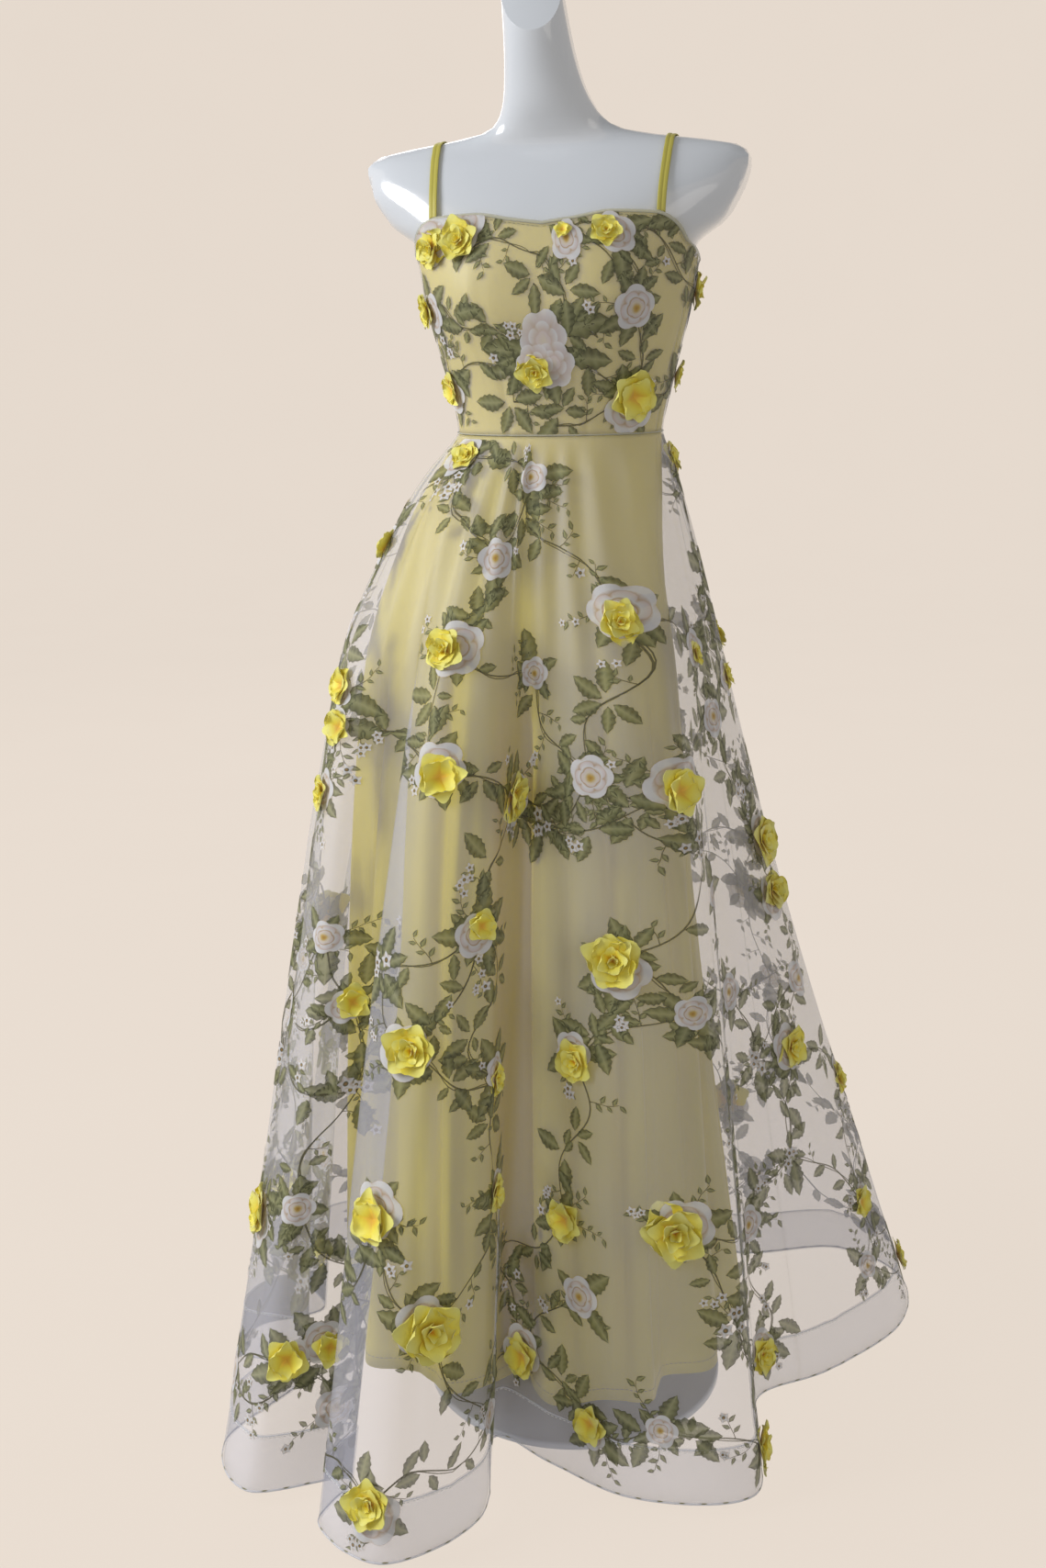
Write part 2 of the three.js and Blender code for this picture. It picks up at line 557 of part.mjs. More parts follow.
// A panel's wall with its blooms raised on the outside. The core keeps the inside plain.
function bloomedGeometry(panel, blooms) {
  const wall = closedWall(panel.outer, panel.inner);
  if (blooms.length === 0) return wall;
  const under = (depth) =>
    panel.outer.map((row, i) =>
      row.map((point, j) => point.clone().lerp(panel.inner[i][j], depth / panel.wall)),
    );
  const core = solidOf(closedWall(under(panel.wall / 2), under(CORE_DEPTH)));
  const raised = blooms
    .map((bloom, k) => bloomSolid(panel, bloom, 1 + 2.4 * k))
    .reduce((all, bloom) => all.add(bloom));
  return geometryOf(wholeBody(solidOf(wall).add(raised.subtract(core))));
}

// The largest body of a solid, without chips that a bend cuts off a bloom and pockets that it closes.
function wholeBody(solid) {
  return solid.decompose().reduce((a, b) => (b.volume() > a.volume() ? b : a));
}

// ---------------------------------------------------------------- the object
const object = new THREE.Group();
object.name = "maxi_dress_on_form";

function addPiece(name, geometry, material) {
  const mesh = new THREE.Mesh(geometry, material);
  mesh.name = name;
  object.add(mesh);
  return mesh;
}

const PANEL_NAMES = ["front", "back_left", "back_right"];

// The three panels of a layer, between the side seams and the centre back.
function addLayer(name, material, seams, columns, settings, blooms = []) {
  const ends = [...seams, seams[0] + 1];
  PANEL_NAMES.forEach((panelName, k) => {
    const [from, to] = [ends[k], ends[k + 1]];
    const count = Math.round(columns * (to - from));
    const panel = makePanel({ ...settings, from, to, columns: count });
    const strewn = settings.strewn && k > 0 ? strewnBlooms(panel, settings.strewn, k) : [];
    const placed = blooms.filter((bloom) => bloom.around > from && bloom.around < to);
    addPiece(`${name}_${panelName}`, bloomedGeometry(panel, [...placed, ...strewn]), material);
  });
}

// Blooms spread evenly over a back panel, clear of its seams and of the blooms that are placed by hand.
function strewnBlooms(panel, { count, low, high, spread, taken }, k) {
  const blooms = [];
  for (let n = 0; n < count; n++) {
    const radius = 18 + 3 * ((n * 5 + k) % 4);
    const z = mix(low, high, ((n + 0.5) / count) ** spread);
    const step = 1e-2;
    const middle = (panel.from + panel.to) / 2;
    const speed = panel.surface(middle + step, z).distanceTo(panel.surface(middle - step, z)) / (2 * step);
    const margin = (radius + BLOOM_MARGIN) / speed;
    const around = mix(panel.from + margin, panel.to - margin, fraction(0.618 * n + 0.37 * k));
    const clear = taken.every(
      (bloom) =>
        Math.abs(bloom.around - around) * speed > bloom.radius + radius ||
        Math.abs(bloom.z - z) > bloom.radius + radius,
    );
    if (clear) blooms.push({ around, z, radius });
  }
  return blooms;
}

// Bodice: a satin lining under the printed organza, both shaped on the form's bust and waist.
const neckline = column(NECKLINE, "angle", "z");
const necklineAt = (share) => neckline(360 * Math.abs(share - Math.round(share)));
const bodiceRows = BODICE_ROWS.map(
  (part) => (share) => mix(WAIST_Z + WAIST_GAP / 2, necklineAt(share), part),
);
const stack = FORM_EASE + LINING_WALL + LAYER_GAP + OVERLAY_WALL;
const roundSeams = [-SIDE_SEAM / 360, SIDE_SEAM / 360, 0.5];
addLayer("bodice_lining", SATIN, roundSeams, COLUMNS.bodice, {
  surface: formPoint,
  rows: bodiceRows,
  lift: FORM_EASE + LINING_WALL,
  wall: LINING_WALL,
});
addLayer(
  "bodice_overlay",
  ORGANZA,
  roundSeams,
  COLUMNS.bodice,
  {
    surface: formPoint,
    rows: bodiceRows,
    lift: stack,
    wall: OVERLAY_WALL,
    strewn: STREWN_BODICE,
  },
  BODICE_BLOOMS,
);

// Skirts: the satin lining falls close, and the organza falls in wide flutes over it.
const skirtTop = WAIST_Z - WAIST_GAP / 2;
addLayer("skirt_lining", SATIN, roundSeams, COLUMNS.lining, {
  surface: liningPoint,
  rows: [...LINING_ROWS, skirtTop],
  lift: 0,
  wall: LINING_WALL,
});
const seamShare = (angle) => shareOfPlace(placeAtAngle(angle)) - FRONT_SHARE;
const overlaySeams = [seamShare(-SIDE_SEAM), seamShare(SIDE_SEAM), seamShare(180)];
addLayer(
  "skirt_overlay",
  ORGANZA,
  overlaySeams,
  COLUMNS.overlay,
  {
    surface: overlayPoint,
    rows: [...OVERLAY_ROWS, skirtTop],
    lift: 0,
    wall: OVERLAY_WALL,
    strewn: STREWN_SKIRT,
  },
  SKIRT_BLOOMS,
);
// The hem's turned-up facing lies on the inside of the organza.
addLayer("hem_facing", ORGANZA, overlaySeams, COLUMNS.overlay, {
  surface: overlayPoint,
  rows: [HEM_Z, FACING_TOP_Z],
  lift: -OVERLAY_WALL - LAYER_GAP,
  wall: FACING_WALL,
});

// Straps: flat bands from the bodice's front corners, over the shoulders, to the back's top edge.
function strapGeometry(side) {
  const centre = new THREE.Vector3(0, STRAP_CENTRE.y, STRAP_CENTRE.z);
  const asideAt = (beta) =>
    side * curve([-40, 90, 180], [STRAP.backX, STRAP.topX, STRAP.frontX], degrees(beta));
  const along = (beta) => {
    const ray = new THREE.Vector3(0, Math.cos(beta), Math.sin(beta));
    const at = (reach) =>
      new THREE.Vector3(asideAt(beta), 0, 0).add(centre).addScaledVector(ray, reach);
    return at(solve(0, 200, (reach) => formLevel(at(reach), 0) > 1));
  };
  const clearOfBodice = (beta) => {
    const end = along(beta);
    end.addScaledVector(formNormal(end), STRAP.endLift);
    return end.z > necklineAt(angleOf(end) / (2 * Math.PI)) + SEAM_GAP;
  };
  const back = solve(-0.9, 0.5, clearOfBodice);
  const front = -solve(-4, -2.6, (beta) => clearOfBodice(-beta));
  const outer = [];
  const inner = [];
  for (let k = 0; k <= STRAP_STEPS; k++) {
    const beta = mix(back, front, k / STRAP_STEPS);
    const point = along(beta);
    const tangent = along(beta + 0.01).sub(along(beta - 0.01)).normalize();
    const normal = formNormal(point);
    const across = tangent.clone().cross(normal).normalize();
    const end = 1 - smooth(0, STRAP_END_PART, Math.min(k, STRAP_STEPS - k) / STRAP_STEPS);
    const low = mix(STRAP.topLift, STRAP.endLift, end);
    const row = (rise) =>
      [-0.5, 0.5].map((part) =>
        point.clone().addScaledVector(across, part * STRAP.width).addScaledVector(normal, rise),
      );
    outer.push(row(low + STRAP.thick));
    inner.push(row(low));
  }
  return closedWall(outer, inner);
}

function formNormal(point) {
  const step = 0.5;
  const slope = (axis) =>
    formLevel(point.clone().addScaledVector(axis, step), 0) -
    formLevel(point.clone().addScaledVector(axis, -step), 0);
  const axes = [new THREE.Vector3(1, 0, 0), new THREE.Vector3(0, 1, 0), new THREE.Vector3(0, 0, 1)];
  return new THREE.Vector3(...axes.map(slope)).normalize();
}

addPiece("strap_left", strapGeometry(1), STRAP_SATIN);
addPiece("strap_right", strapGeometry(-1), STRAP_SATIN);

// Zip at the centre back: a slider with a bridge, and a pull that swings on the bridge's pin.
const xTube = (radius, length, sides) =>
  new THREE.CylinderGeometry(radius, radius, length, sides).rotateZ(Math.PI / 2);

const zipTop = neckline(180) - ZIP.dropFromTop;
const zipFace = formPoint(0.5, zipTop).y + stack + SEAM_GAP;
const zipAxisZ = zipTop + ZIP.bodyZ / 2 - ZIP_PULL.eyeOuter - ZIP_PULL.belowTop;
const zipAxisY = zipFace + ZIP.bodyY + ZIP.axisOut;

function sliderGeometry() {
  const body = solidOf(
    new THREE.BoxGeometry(ZIP.bodyX, ZIP.bodyY, ZIP.bodyZ).translate(0, zipFace + ZIP.bodyY / 2, zipTop),
  );
  const lugs = [-1, 1].map((side) =>
    solidOf(
      new THREE.BoxGeometry(ZIP_LUG.x, ZIP_LUG.y, ZIP_LUG.z).translate(
        (side * (ZIP.bodyX - ZIP_LUG.x)) / 2,
        zipFace + ZIP.bodyY + ZIP_LUG.y / 2 - ZIP_LUG.sunk,
        zipAxisZ,
      ),
    ),
  );
  const pin = solidOf(xTube(ZIP.pin, ZIP.bodyX - ZIP_LUG.x, 12).translate(0, zipAxisY, zipAxisZ));
  return geometryOf(body.add(lugs[0]).add(lugs[1]).add(pin));
}

function pullGeometry() {
  const eyeLength = ZIP.bodyX - 2 * ZIP_LUG.x - 2 * SEAM_GAP;
  const shape = new THREE.Shape();
  const root = (ZIP.eye + ZIP_PULL.eyeOuter) / 2;
  shape.moveTo(-ZIP_PULL.neck, -root);
  shape.lineTo(-ZIP_PULL.belly, -ZIP_PULL.length + ZIP_PULL.belly);
  shape.absarc(0, -ZIP_PULL.length + ZIP_PULL.belly, ZIP_PULL.belly, Math.PI, 2 * Math.PI, false);
  shape.lineTo(ZIP_PULL.neck, -root);
  shape.closePath();
  const settings = { depth: ZIP_PULL.thick, bevelEnabled: false, curveSegments: 8 };
  const tongue = new THREE.ExtrudeGeometry(shape, settings)
    .translate(0, 0, -ZIP_PULL.thick / 2)
    .rotateX(Math.PI / 2);
  const eye = solidOf(xTube(ZIP_PULL.eyeOuter, eyeLength, 12));
  const bore = solidOf(xTube(ZIP.eye, 2 * eyeLength, 12));
  return geometryOf(solidOf(tongue).add(eye).subtract(bore)).translate(0, zipAxisY, zipAxisZ);
}

addPiece("zip_slider", sliderGeometry(), ZIP_METAL);
addPiece("zip_pull", pullGeometry(), ZIP_METAL);

// The dress form: bust, waist and hips in one shell, a leaning neck with a slanted end, no limbs.
function formGeometry() {
  const points = [];
  const faces = [];
  for (const z of FORM_RINGS)
    for (let j = 0; j < FORM_SIDES; j++) points.push(formPoint(j / FORM_SIDES, z, -FORM_SKIN));
  const at = (i, j) => i * FORM_SIDES + (j % FORM_SIDES);
  const last = FORM_RINGS.length - 1;
  const [foot, head] = [points.length, points.length + 1];
  for (const z of [FORM_RINGS[0], FORM_RINGS[last]])
    points.push(new THREE.Vector3(formColumn.x(z), formColumn.y(z), z));
  for (let j = 0; j < FORM_SIDES; j++) {
    for (let i = 0; i < last; i++) {
      faces.push(at(i, j), at(i, j + 1), at(i + 1, j + 1));
      faces.push(at(i, j), at(i + 1, j + 1), at(i + 1, j));
    }
    faces.push(foot, at(0, j + 1), at(0, j), head, at(last, j), at(last, j + 1));
  }
  const { lowY, lowZ, highY, highZ, size } = NECK_FACE;
  const slope = Math.atan2(highZ - lowZ, highY - lowY);
  const cutter = new THREE.BoxGeometry(size, size, size)
    .translate(0, 0, size / 2)
    .rotateX(slope)
    .translate(0, lowY, lowZ);
  const socket = new THREE.CylinderGeometry(POLE_RADIUS + SEAM_GAP, POLE_RADIUS + SEAM_GAP, 100, 24)
    .rotateX(Math.PI / 2)
    .translate(0, 0, FORM_FOOT_Z + POLE_DEPTH_IN_FORM - 50);
  return geometryOf(solidOf(indexed(points, faces)).subtract(solidOf(cutter)).subtract(solidOf(socket)));
}

function baseGeometry() {
  const bore = POLE_RADIUS + SEAM_GAP;
  const profile = [
    [0, 0],
    [BASE.radius, 0],
    [BASE.radius, BASE.thick - BASE.bevel],
    [BASE.radius - BASE.bevel, BASE.thick],
    [BASE.collar, BASE.thick],
    [BASE.collar, BASE.collarTop],
    [bore, BASE.collarTop],
    [bore, BASE.thick],
    [0, BASE.thick],
  ].map(([radius, z]) => new THREE.Vector2(radius, z));
  return geometryOf(solidOf(new THREE.LatheGeometry(profile, 28).rotateX(Math.PI / 2)));
}

addPiece("form_torso", formGeometry(), GLOSS_WHITE);
const poleFoot = BASE.thick + SEAM_GAP;
const poleLength = FORM_FOOT_Z + POLE_DEPTH_IN_FORM - SEAM_GAP - poleFoot;
const pole = addPiece(
  "form_pole",
  new THREE.CylinderGeometry(POLE_RADIUS, POLE_RADIUS, poleLength, 24).rotateX(Math.PI / 2),
  LACQUERED_STEEL,
);
pole.position.z = poleFoot + poleLength / 2;
addPiece("form_base", baseGeometry(), LACQUERED_STEEL);

export default object;
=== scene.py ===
"""Floor-length A-line dress of satin under sheer printed organza, on a limbless dress form.

The dress faces -Y, +Z is up and +X is the wearer's left. Sizes are in millimetres, and the scene in metres.
Places on the dress are given by a share of the way round from the centre front and by a height.
"""

from __future__ import annotations

import logging
import math
import random
from collections.abc import Callable, Sequence
from dataclasses import dataclass, field
from enum import Enum
from typing import TypeVar

import bmesh
import bpy
import numpy as np
from mathutils import Matrix, Vector


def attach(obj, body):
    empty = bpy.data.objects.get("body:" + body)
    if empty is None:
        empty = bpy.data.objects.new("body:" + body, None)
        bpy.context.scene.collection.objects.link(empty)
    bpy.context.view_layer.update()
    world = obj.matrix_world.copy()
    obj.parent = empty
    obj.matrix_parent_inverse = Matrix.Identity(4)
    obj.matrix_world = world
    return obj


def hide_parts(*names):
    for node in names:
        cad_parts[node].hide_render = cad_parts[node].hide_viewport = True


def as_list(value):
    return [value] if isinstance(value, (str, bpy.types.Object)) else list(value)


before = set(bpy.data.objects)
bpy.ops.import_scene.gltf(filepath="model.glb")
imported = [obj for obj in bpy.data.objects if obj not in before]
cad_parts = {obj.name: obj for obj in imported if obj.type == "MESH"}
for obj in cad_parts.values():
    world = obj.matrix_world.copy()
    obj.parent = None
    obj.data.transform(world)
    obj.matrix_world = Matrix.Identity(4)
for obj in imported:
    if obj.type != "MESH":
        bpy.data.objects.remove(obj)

log = logging.getLogger("maxi_dress")
Array = np.ndarray
Colour = tuple[float, float, float]
Surface = Callable[[Array, Array], Array]
Row = TypeVar("Row")

MM = 0.001
# Points nearer to each other than these, in metres, become one.
WELD = 1e-6
WIDE_WELD = 1e-5
DRESS = "dress"
WAIST_Z = 1075.0
HEM_Z = 14.0
LINING_HEM_Z = 72.0
FACING_TOP_Z = 70.0
SEAM_GAP = 0.3
WAIST_GAP = 0.6
FORM_EASE = 3.0
FORM_SKIN = 1.0
LINING_WALL = 1.2
OVERLAY_WALL = 1.2
LAYER_GAP = 0.5
LAYER_FALL = 3.0
LAYER_FALL_HEIGHT = 60.0
SOFTEST_BEND = 6.0
SIDE_SEAM = 80.0
STACK = FORM_EASE + LINING_WALL + LAYER_GAP + OVERLAY_WALL
FORM_FOOT_Z = 800.0


# ---------- tables
def table(kind: Callable[..., Row], *rows: Sequence[object]) -> tuple[Row, ...]:
    """One entry of a kind for each row of its values."""
    return tuple(kind(*row) for row in rows)


@dataclass(frozen=True)
class FormRow:
    """One level of the dress form: centre, half width, half depths and squareness."""

    z: float
    x: float
    y: float
    width: float
    front: float
    back: float
    square: float


FORM = table(
    FormRow,
    (800, -50, 6, 150, 92, 104, 2.3),
    (893, -45, 6, 147, 93, 112, 2.3),
    (968, -29, 4, 131, 90, 104, 2.2),
    (1028, -11, 1, 114, 84, 90, 2.1),
    (1075, -1, 0, 106, 80, 82, 2.05),
    (1118, 0, 0, 113, 84, 87, 2.1),
    (1160, 0, 0, 124, 92, 95, 2.2),
    (1212, 0, 0, 137, 105, 101, 2.2),
    (1245, 0, 0, 143, 103, 103, 2.25),
    (1272, 0, 0, 149, 96, 103, 2.35),
    (1300, 0, 2, 183, 86, 101, 2.4),
    (1337, 0, 4, 210, 70, 93, 2.5),
    (1364, 0, 6, 216, 54, 76, 2.4),
    (1377, 0, 5, 198, 42, 58, 2.2),
    (1386, -1, 1, 128, 38, 50, 2.0),
    (1397, -2, -6, 72, 38, 47, 2.0),
    (1416, -4, -18, 53, 39, 45, 2.0),
    (1445, -7, -32, 43, 37, 42, 2.0),
    (1486, -10, -46, 37, 36, 39, 2.0),
    (1545, -14, -57, 33, 34, 36, 2.0),
    (1604, -16, -63, 31, 32, 34, 2.0),
)


@dataclass(frozen=True)
class OrganzaFold:
    """One fold line of the organza skirt: angle and distance at the hips, upper, middle and hem levels."""

    hip: tuple[float, float]
    high: tuple[float, float]
    mid: tuple[float, float]
    hem: tuple[float, float]


ORGANZA_FOLDS = table(
    OrganzaFold,
    ((4, 112), (5, 152), (4, 188), (2, 208)),
    ((16, 117), (17, 170), (18, 222), (20, 266)),
    ((30, 124), (31, 186), (34, 246), (36, 308)),
    ((43, 129), (45, 190), (45, 250), (46, 314)),
    ((57, 126), (58, 172), (56, 210), (57, 262)),
    ((71, 124), (72, 158), (70, 190), (76, 222)),
    ((85, 130), (86, 164), (86, 210), (92, 290)),
    ((99, 137), (101, 176), (103, 244), (108, 388)),
    ((113, 140), (115, 184), (118, 262), (122, 436)),
    ((127, 139), (129, 184), (132, 256), (135, 410)),
    ((142, 136), (144, 178), (146, 224), (148, 304)),
    ((155, 138), (157, 198), (159, 278), (161, 388)),
    ((168, 141), (170, 204), (172, 286), (174, 396)),
    ((181, 140), (183, 190), (185, 232), (187, 298)),
    ((194, 144), (195, 210), (197, 290), (199, 392)),
    ((207, 147), (208, 216), (210, 296), (212, 402)),
    ((220, 151), (222, 206), (224, 244), (226, 302)),
    ((232, 160), (234, 228), (236, 304), (238, 396)),
    ((243, 169), (246, 238), (249, 312), (251, 408)),
    ((254, 175), (256, 240), (259, 276), (262, 318)),
    ((264, 180), (266, 250), (269, 300), (271, 380)),
    ((272, 182), (274, 254), (278, 304), (280, 388)),
    ((281, 181), (283, 248), (286, 280), (288, 306)),
    ((291, 178), (296, 252), (300, 306), (304, 408)),
    ((300, 172), (306, 246), (312, 302), (317, 420)),
    ((311, 162), (318, 206), (322, 238), (325, 330)),
    ((322, 152), (328, 222), (329, 296), (330, 398)),
    ((333, 142), (338, 220), (341, 298), (343, 408)),
    ((344, 128), (350, 188), (352, 250), (352, 310)),
    ((353, 116), (354, 150), (352, 168), (342, 186)),
)


@dataclass(frozen=True)
class LiningFold:
    """One fold line of the satin skirt, which keeps its angle, and its distance at each level."""

    angle: float
    hip: float
    high: float
    mid: float
    hem: float


LINING_FOLDS = table(
    LiningFold,
    (-80, 172, 222, 246, 262),
    (-66, 164, 206, 222, 228),
    (-52, 152, 202, 234, 256),
    (-40, 140, 178, 204, 216),
    (-28, 126, 166, 200, 222),
    (-12, 106, 130, 148, 152),
    (4, 104, 143, 180, 200),
    (18, 103, 139, 172, 191),
    (32, 107, 143, 182, 208),
    (43, 106, 134, 162, 174),
    (58, 108, 134, 168, 198),
    (78, 107, 126, 142, 172),
    (100, 107, 123, 142, 192),
    (125, 110, 128, 154, 208),
    (145, 113, 131, 150, 182),
    (165, 118, 144, 178, 224),
    (185, 121, 146, 172, 196),
    (205, 128, 160, 196, 238),
    (228, 142, 174, 200, 214),
    (250, 158, 198, 232, 254),
    (266, 167, 209, 228, 236),
)

NECKLINE = ((0, 1293), (22, 1298), (42, 1304), (57, 1303), (72, 1279), (90, 1262), (120, 1252), (180, 1246))


@dataclass(frozen=True)
class Bloom:
    """A sewn-on cloth bloom: share of the way round, height and radius."""

    around: float
    z: float
    radius: float


BODICE_BLOOMS = table(
    Bloom,
    (-0.167, 1272, 23),
    (-0.125, 1277, 23),
    (0.1, 1282, 17),
    (0.037, 1283, 9),
    (-0.196, 1209, 20),
    (-0.193, 1125, 19),
    (-0.018, 1143, 20),
    (0.154, 1116, 27),
    (0.267, 1226, 22),
    (0.267, 1137, 18),
)
SKIRT_BLOOMS = table(
    Bloom,
    (-0.152, 1053, 17),
    (0.219, 1044, 20),
    (-0.103, 864, 24),
    (0.07, 888, 24),
    (-0.243, 954, 18),
    (-0.197, 816, 20),
    (-0.19, 774, 20),
    (-0.204, 702, 20),
    (-0.094, 744, 24),
    (0.084, 720, 25),
    (-0.032, 714, 28),
    (0.147, 840, 14),
    (0.215, 804, 16),
    (0.203, 564, 24),
    (-0.065, 600, 16),
    (0.047, 558, 30),
    (0.187, 390, 24),
    (-0.097, 486, 26),
    (-0.052, 444, 16),
    (0.026, 450, 22),
    (-0.169, 498, 18),
    (-0.205, 270, 27),
    (-0.108, 324, 26),
    (0.019, 282, 22),
    (0.064, 288, 32),
    (-0.05, 330, 18),
    (0.211, 180, 18),
    (0.244, 60, 20),
    (-0.177, 144, 22),
    (-0.162, 150, 18),
    (-0.082, 222, 32),
    (-0.003, 114, 24),
    (0.145, 58, 22),
    (0.029, 78, 20),
    (0.096, 44, 26),
    (-0.1, 66, 24),
)


@dataclass(frozen=True)
class Strewn:
    """How many blooms a back panel carries, between which heights, and how they crowd downwards."""

    count: int
    low: float
    high: float
    spread: float


STREWN_SKIRT = Strewn(10, 60, 1020, 1.25)
STREWN_BODICE = Strewn(2, 1105, 1222, 1.0)


@dataclass(frozen=True)
class Crease:
    """A soft ridge or trough: share, heights it runs between, half width, depth and lean, in mm."""

    share: float
    low: float
    high: float
    width: float
    depth: float
    lean: float = 0.0


ORGANZA_CREASES = table(
    Crease,
    (-0.232, 120, 760, 9, 3.2, 10),
    (-0.214, 40, 520, 7, 2.6, -8),
    (-0.186, 60, 900, 11, 3.6, 14),
    (-0.171, 200, 640, 6, 2.4, -6),
    (-0.141, 30, 700, 8, 3.0, 12),
    (-0.128, 260, 930, 10, 3.4, -10),
    (-0.112, 20, 420, 7, 3.0, 6),
    (-0.088, 90, 560, 8, -2.8, 8),
    (-0.071, 30, 330, 6, 2.6, -12),
    (-0.058, 160, 800, 7, 3.4, 5),
    (-0.044, 30, 420, 6, 3.0, -4),
    (0.012, 40, 300, 12, 3.0, 14),
    (0.041, 60, 460, 15, 2.4, -12),
    (0.083, 30, 380, 13, 2.8, 16),
    (0.118, 120, 820, 9, 3.2, 8),
    (0.136, 30, 560, 7, 3.4, -6),
    (0.158, 60, 700, 8, 3.0, 10),
    (0.181, 30, 480, 10, 2.8, -10),
    (0.206, 90, 760, 9, 3.4, 12),
    (0.232, 30, 420, 8, 2.6, -8),
)
SATIN_CREASES = table(
    Crease,
    (-0.034, 90, 880, 15, -27.0, 3),
    (0.025, 90, 720, 7, -8.0, 5),
    (0.067, 100, 900, 8, -11.0, 5),
    (0.104, 90, 640, 7, -8.0, -6),
    (0.146, 160, 860, 9, -10.0, 7),
    (0.186, 90, 700, 7, -8.0, -5),
    (0.224, 120, 620, 8, -9.0, 6),
    (-0.066, 120, 820, 6, -7.0, -4),
    (-0.096, 90, 940, 9, -11.0, 4),
    (-0.13, 90, 600, 7, -8.0, 6),
    (-0.168, 140, 880, 8, -10.0, -5),
    (-0.205, 90, 660, 7, -8.0, 4),
    (0.004, 300, 980, 6, 2.2, 2),
    (0.046, 240, 960, 7, 2.0, -3),
    (-0.114, 300, 990, 7, 2.2, 3),
)
BODICE_CREASES = table(
    Crease,
    (-0.088, 1030, 1300, 3, -1.3, 30),
    (0.088, 1030, 1300, 3, -1.3, -30),
    (-0.104, 1120, 1330, 5, 0.9, 20),
    (-0.128, 1150, 1340, 4, 0.8, 34),
    (-0.062, 1060, 1210, 5, 0.8, -10),
    (0.066, 1060, 1200, 5, 0.8, 12),
    (0.118, 1120, 1320, 5, 0.9, -26),
    (0.42, 1030, 1290, 3, -1.2, -16),
    (0.58, 1030, 1290, 3, -1.2, 16),
)


# ---------- mathematics
def smooth(low: float, high: float, x: Array) -> Array:
    """Eases from 0 to 1.

    Args:
        low: Where the ease starts.
        high: Where the ease ends.
        x: The values to ease.

    Returns:
        The eased values.
    """
    t = np.clip((np.asarray(x, float) - low) / (high - low), 0.0, 1.0)
    return t * t * (3 - 2 * t)


def through(knots: Sequence[float], values: Array, at: Array) -> Array:
    """Follows curves through knots that never overshoot them.

    Args:
        knots: The rising places of the knots.
        values: The curves' values, a row for each knot and a column for each curve, or one column for all.
        at: The place asked for on each curve.

    Returns:
        The value of each curve at its place.
    """
    knots = np.asarray(knots, float)
    values = np.asarray(values, float).reshape(len(knots), -1)
    at = np.asarray(at, float)
    slopes = np.diff(values, axis=0) / np.diff(knots)[:, None]
    before, after = slopes[:-1], slopes[1:]
    bends = before * after > 0
    inner = np.where(bends, 2 * before * after / np.where(bends, before + after, 1.0), 0.0)
    tangents = np.vstack([slopes[:1], inner, slopes[-1:]])
    i = np.clip(np.searchsorted(knots, at, side="right") - 1, 0, len(knots) - 2)
    j = np.arange(at.size) if values.shape[1] > 1 else np.zeros(at.size, int)
    step = knots[i + 1] - knots[i]
    t = np.clip((at - knots[i]) / step, 0.0, 1.0)
    return (
        (1 + 2 * t) * (1 - t) ** 2 * values[i, j]
        + t * (1 - t) ** 2 * step * tangents[i, j]
        + t * t * (3 - 2 * t) * values[i + 1, j]
        + t * t * (t - 1) * step * tangents[i + 1, j]
    )


def polar(angle: Array, radius: Array, z: Array) -> Array:
    """Points at an angle from the front, a distance from the axis and a height."""
    return np.stack([radius * np.sin(angle), -radius * np.cos(angle), z + 0 * radius], axis=-1)


def normals_of(surface: Surface, share: Array, z: Array) -> Array:
    """The outward directions of a surface.

    Args:
        surface: The surface, by share and height.
        share: The places' shares.
        z: The places' heights.

    Returns:
        One unit vector for each place.
    """
    aside, up = 4e-4, 1.0
    along = surface(share + aside, z) - surface(share - aside, z)
    rising = surface(share, z + up) - surface(share, z - up)
    across = np.cross(along, rising)
    return across / np.linalg.norm(across, axis=-1, keepdims=True)


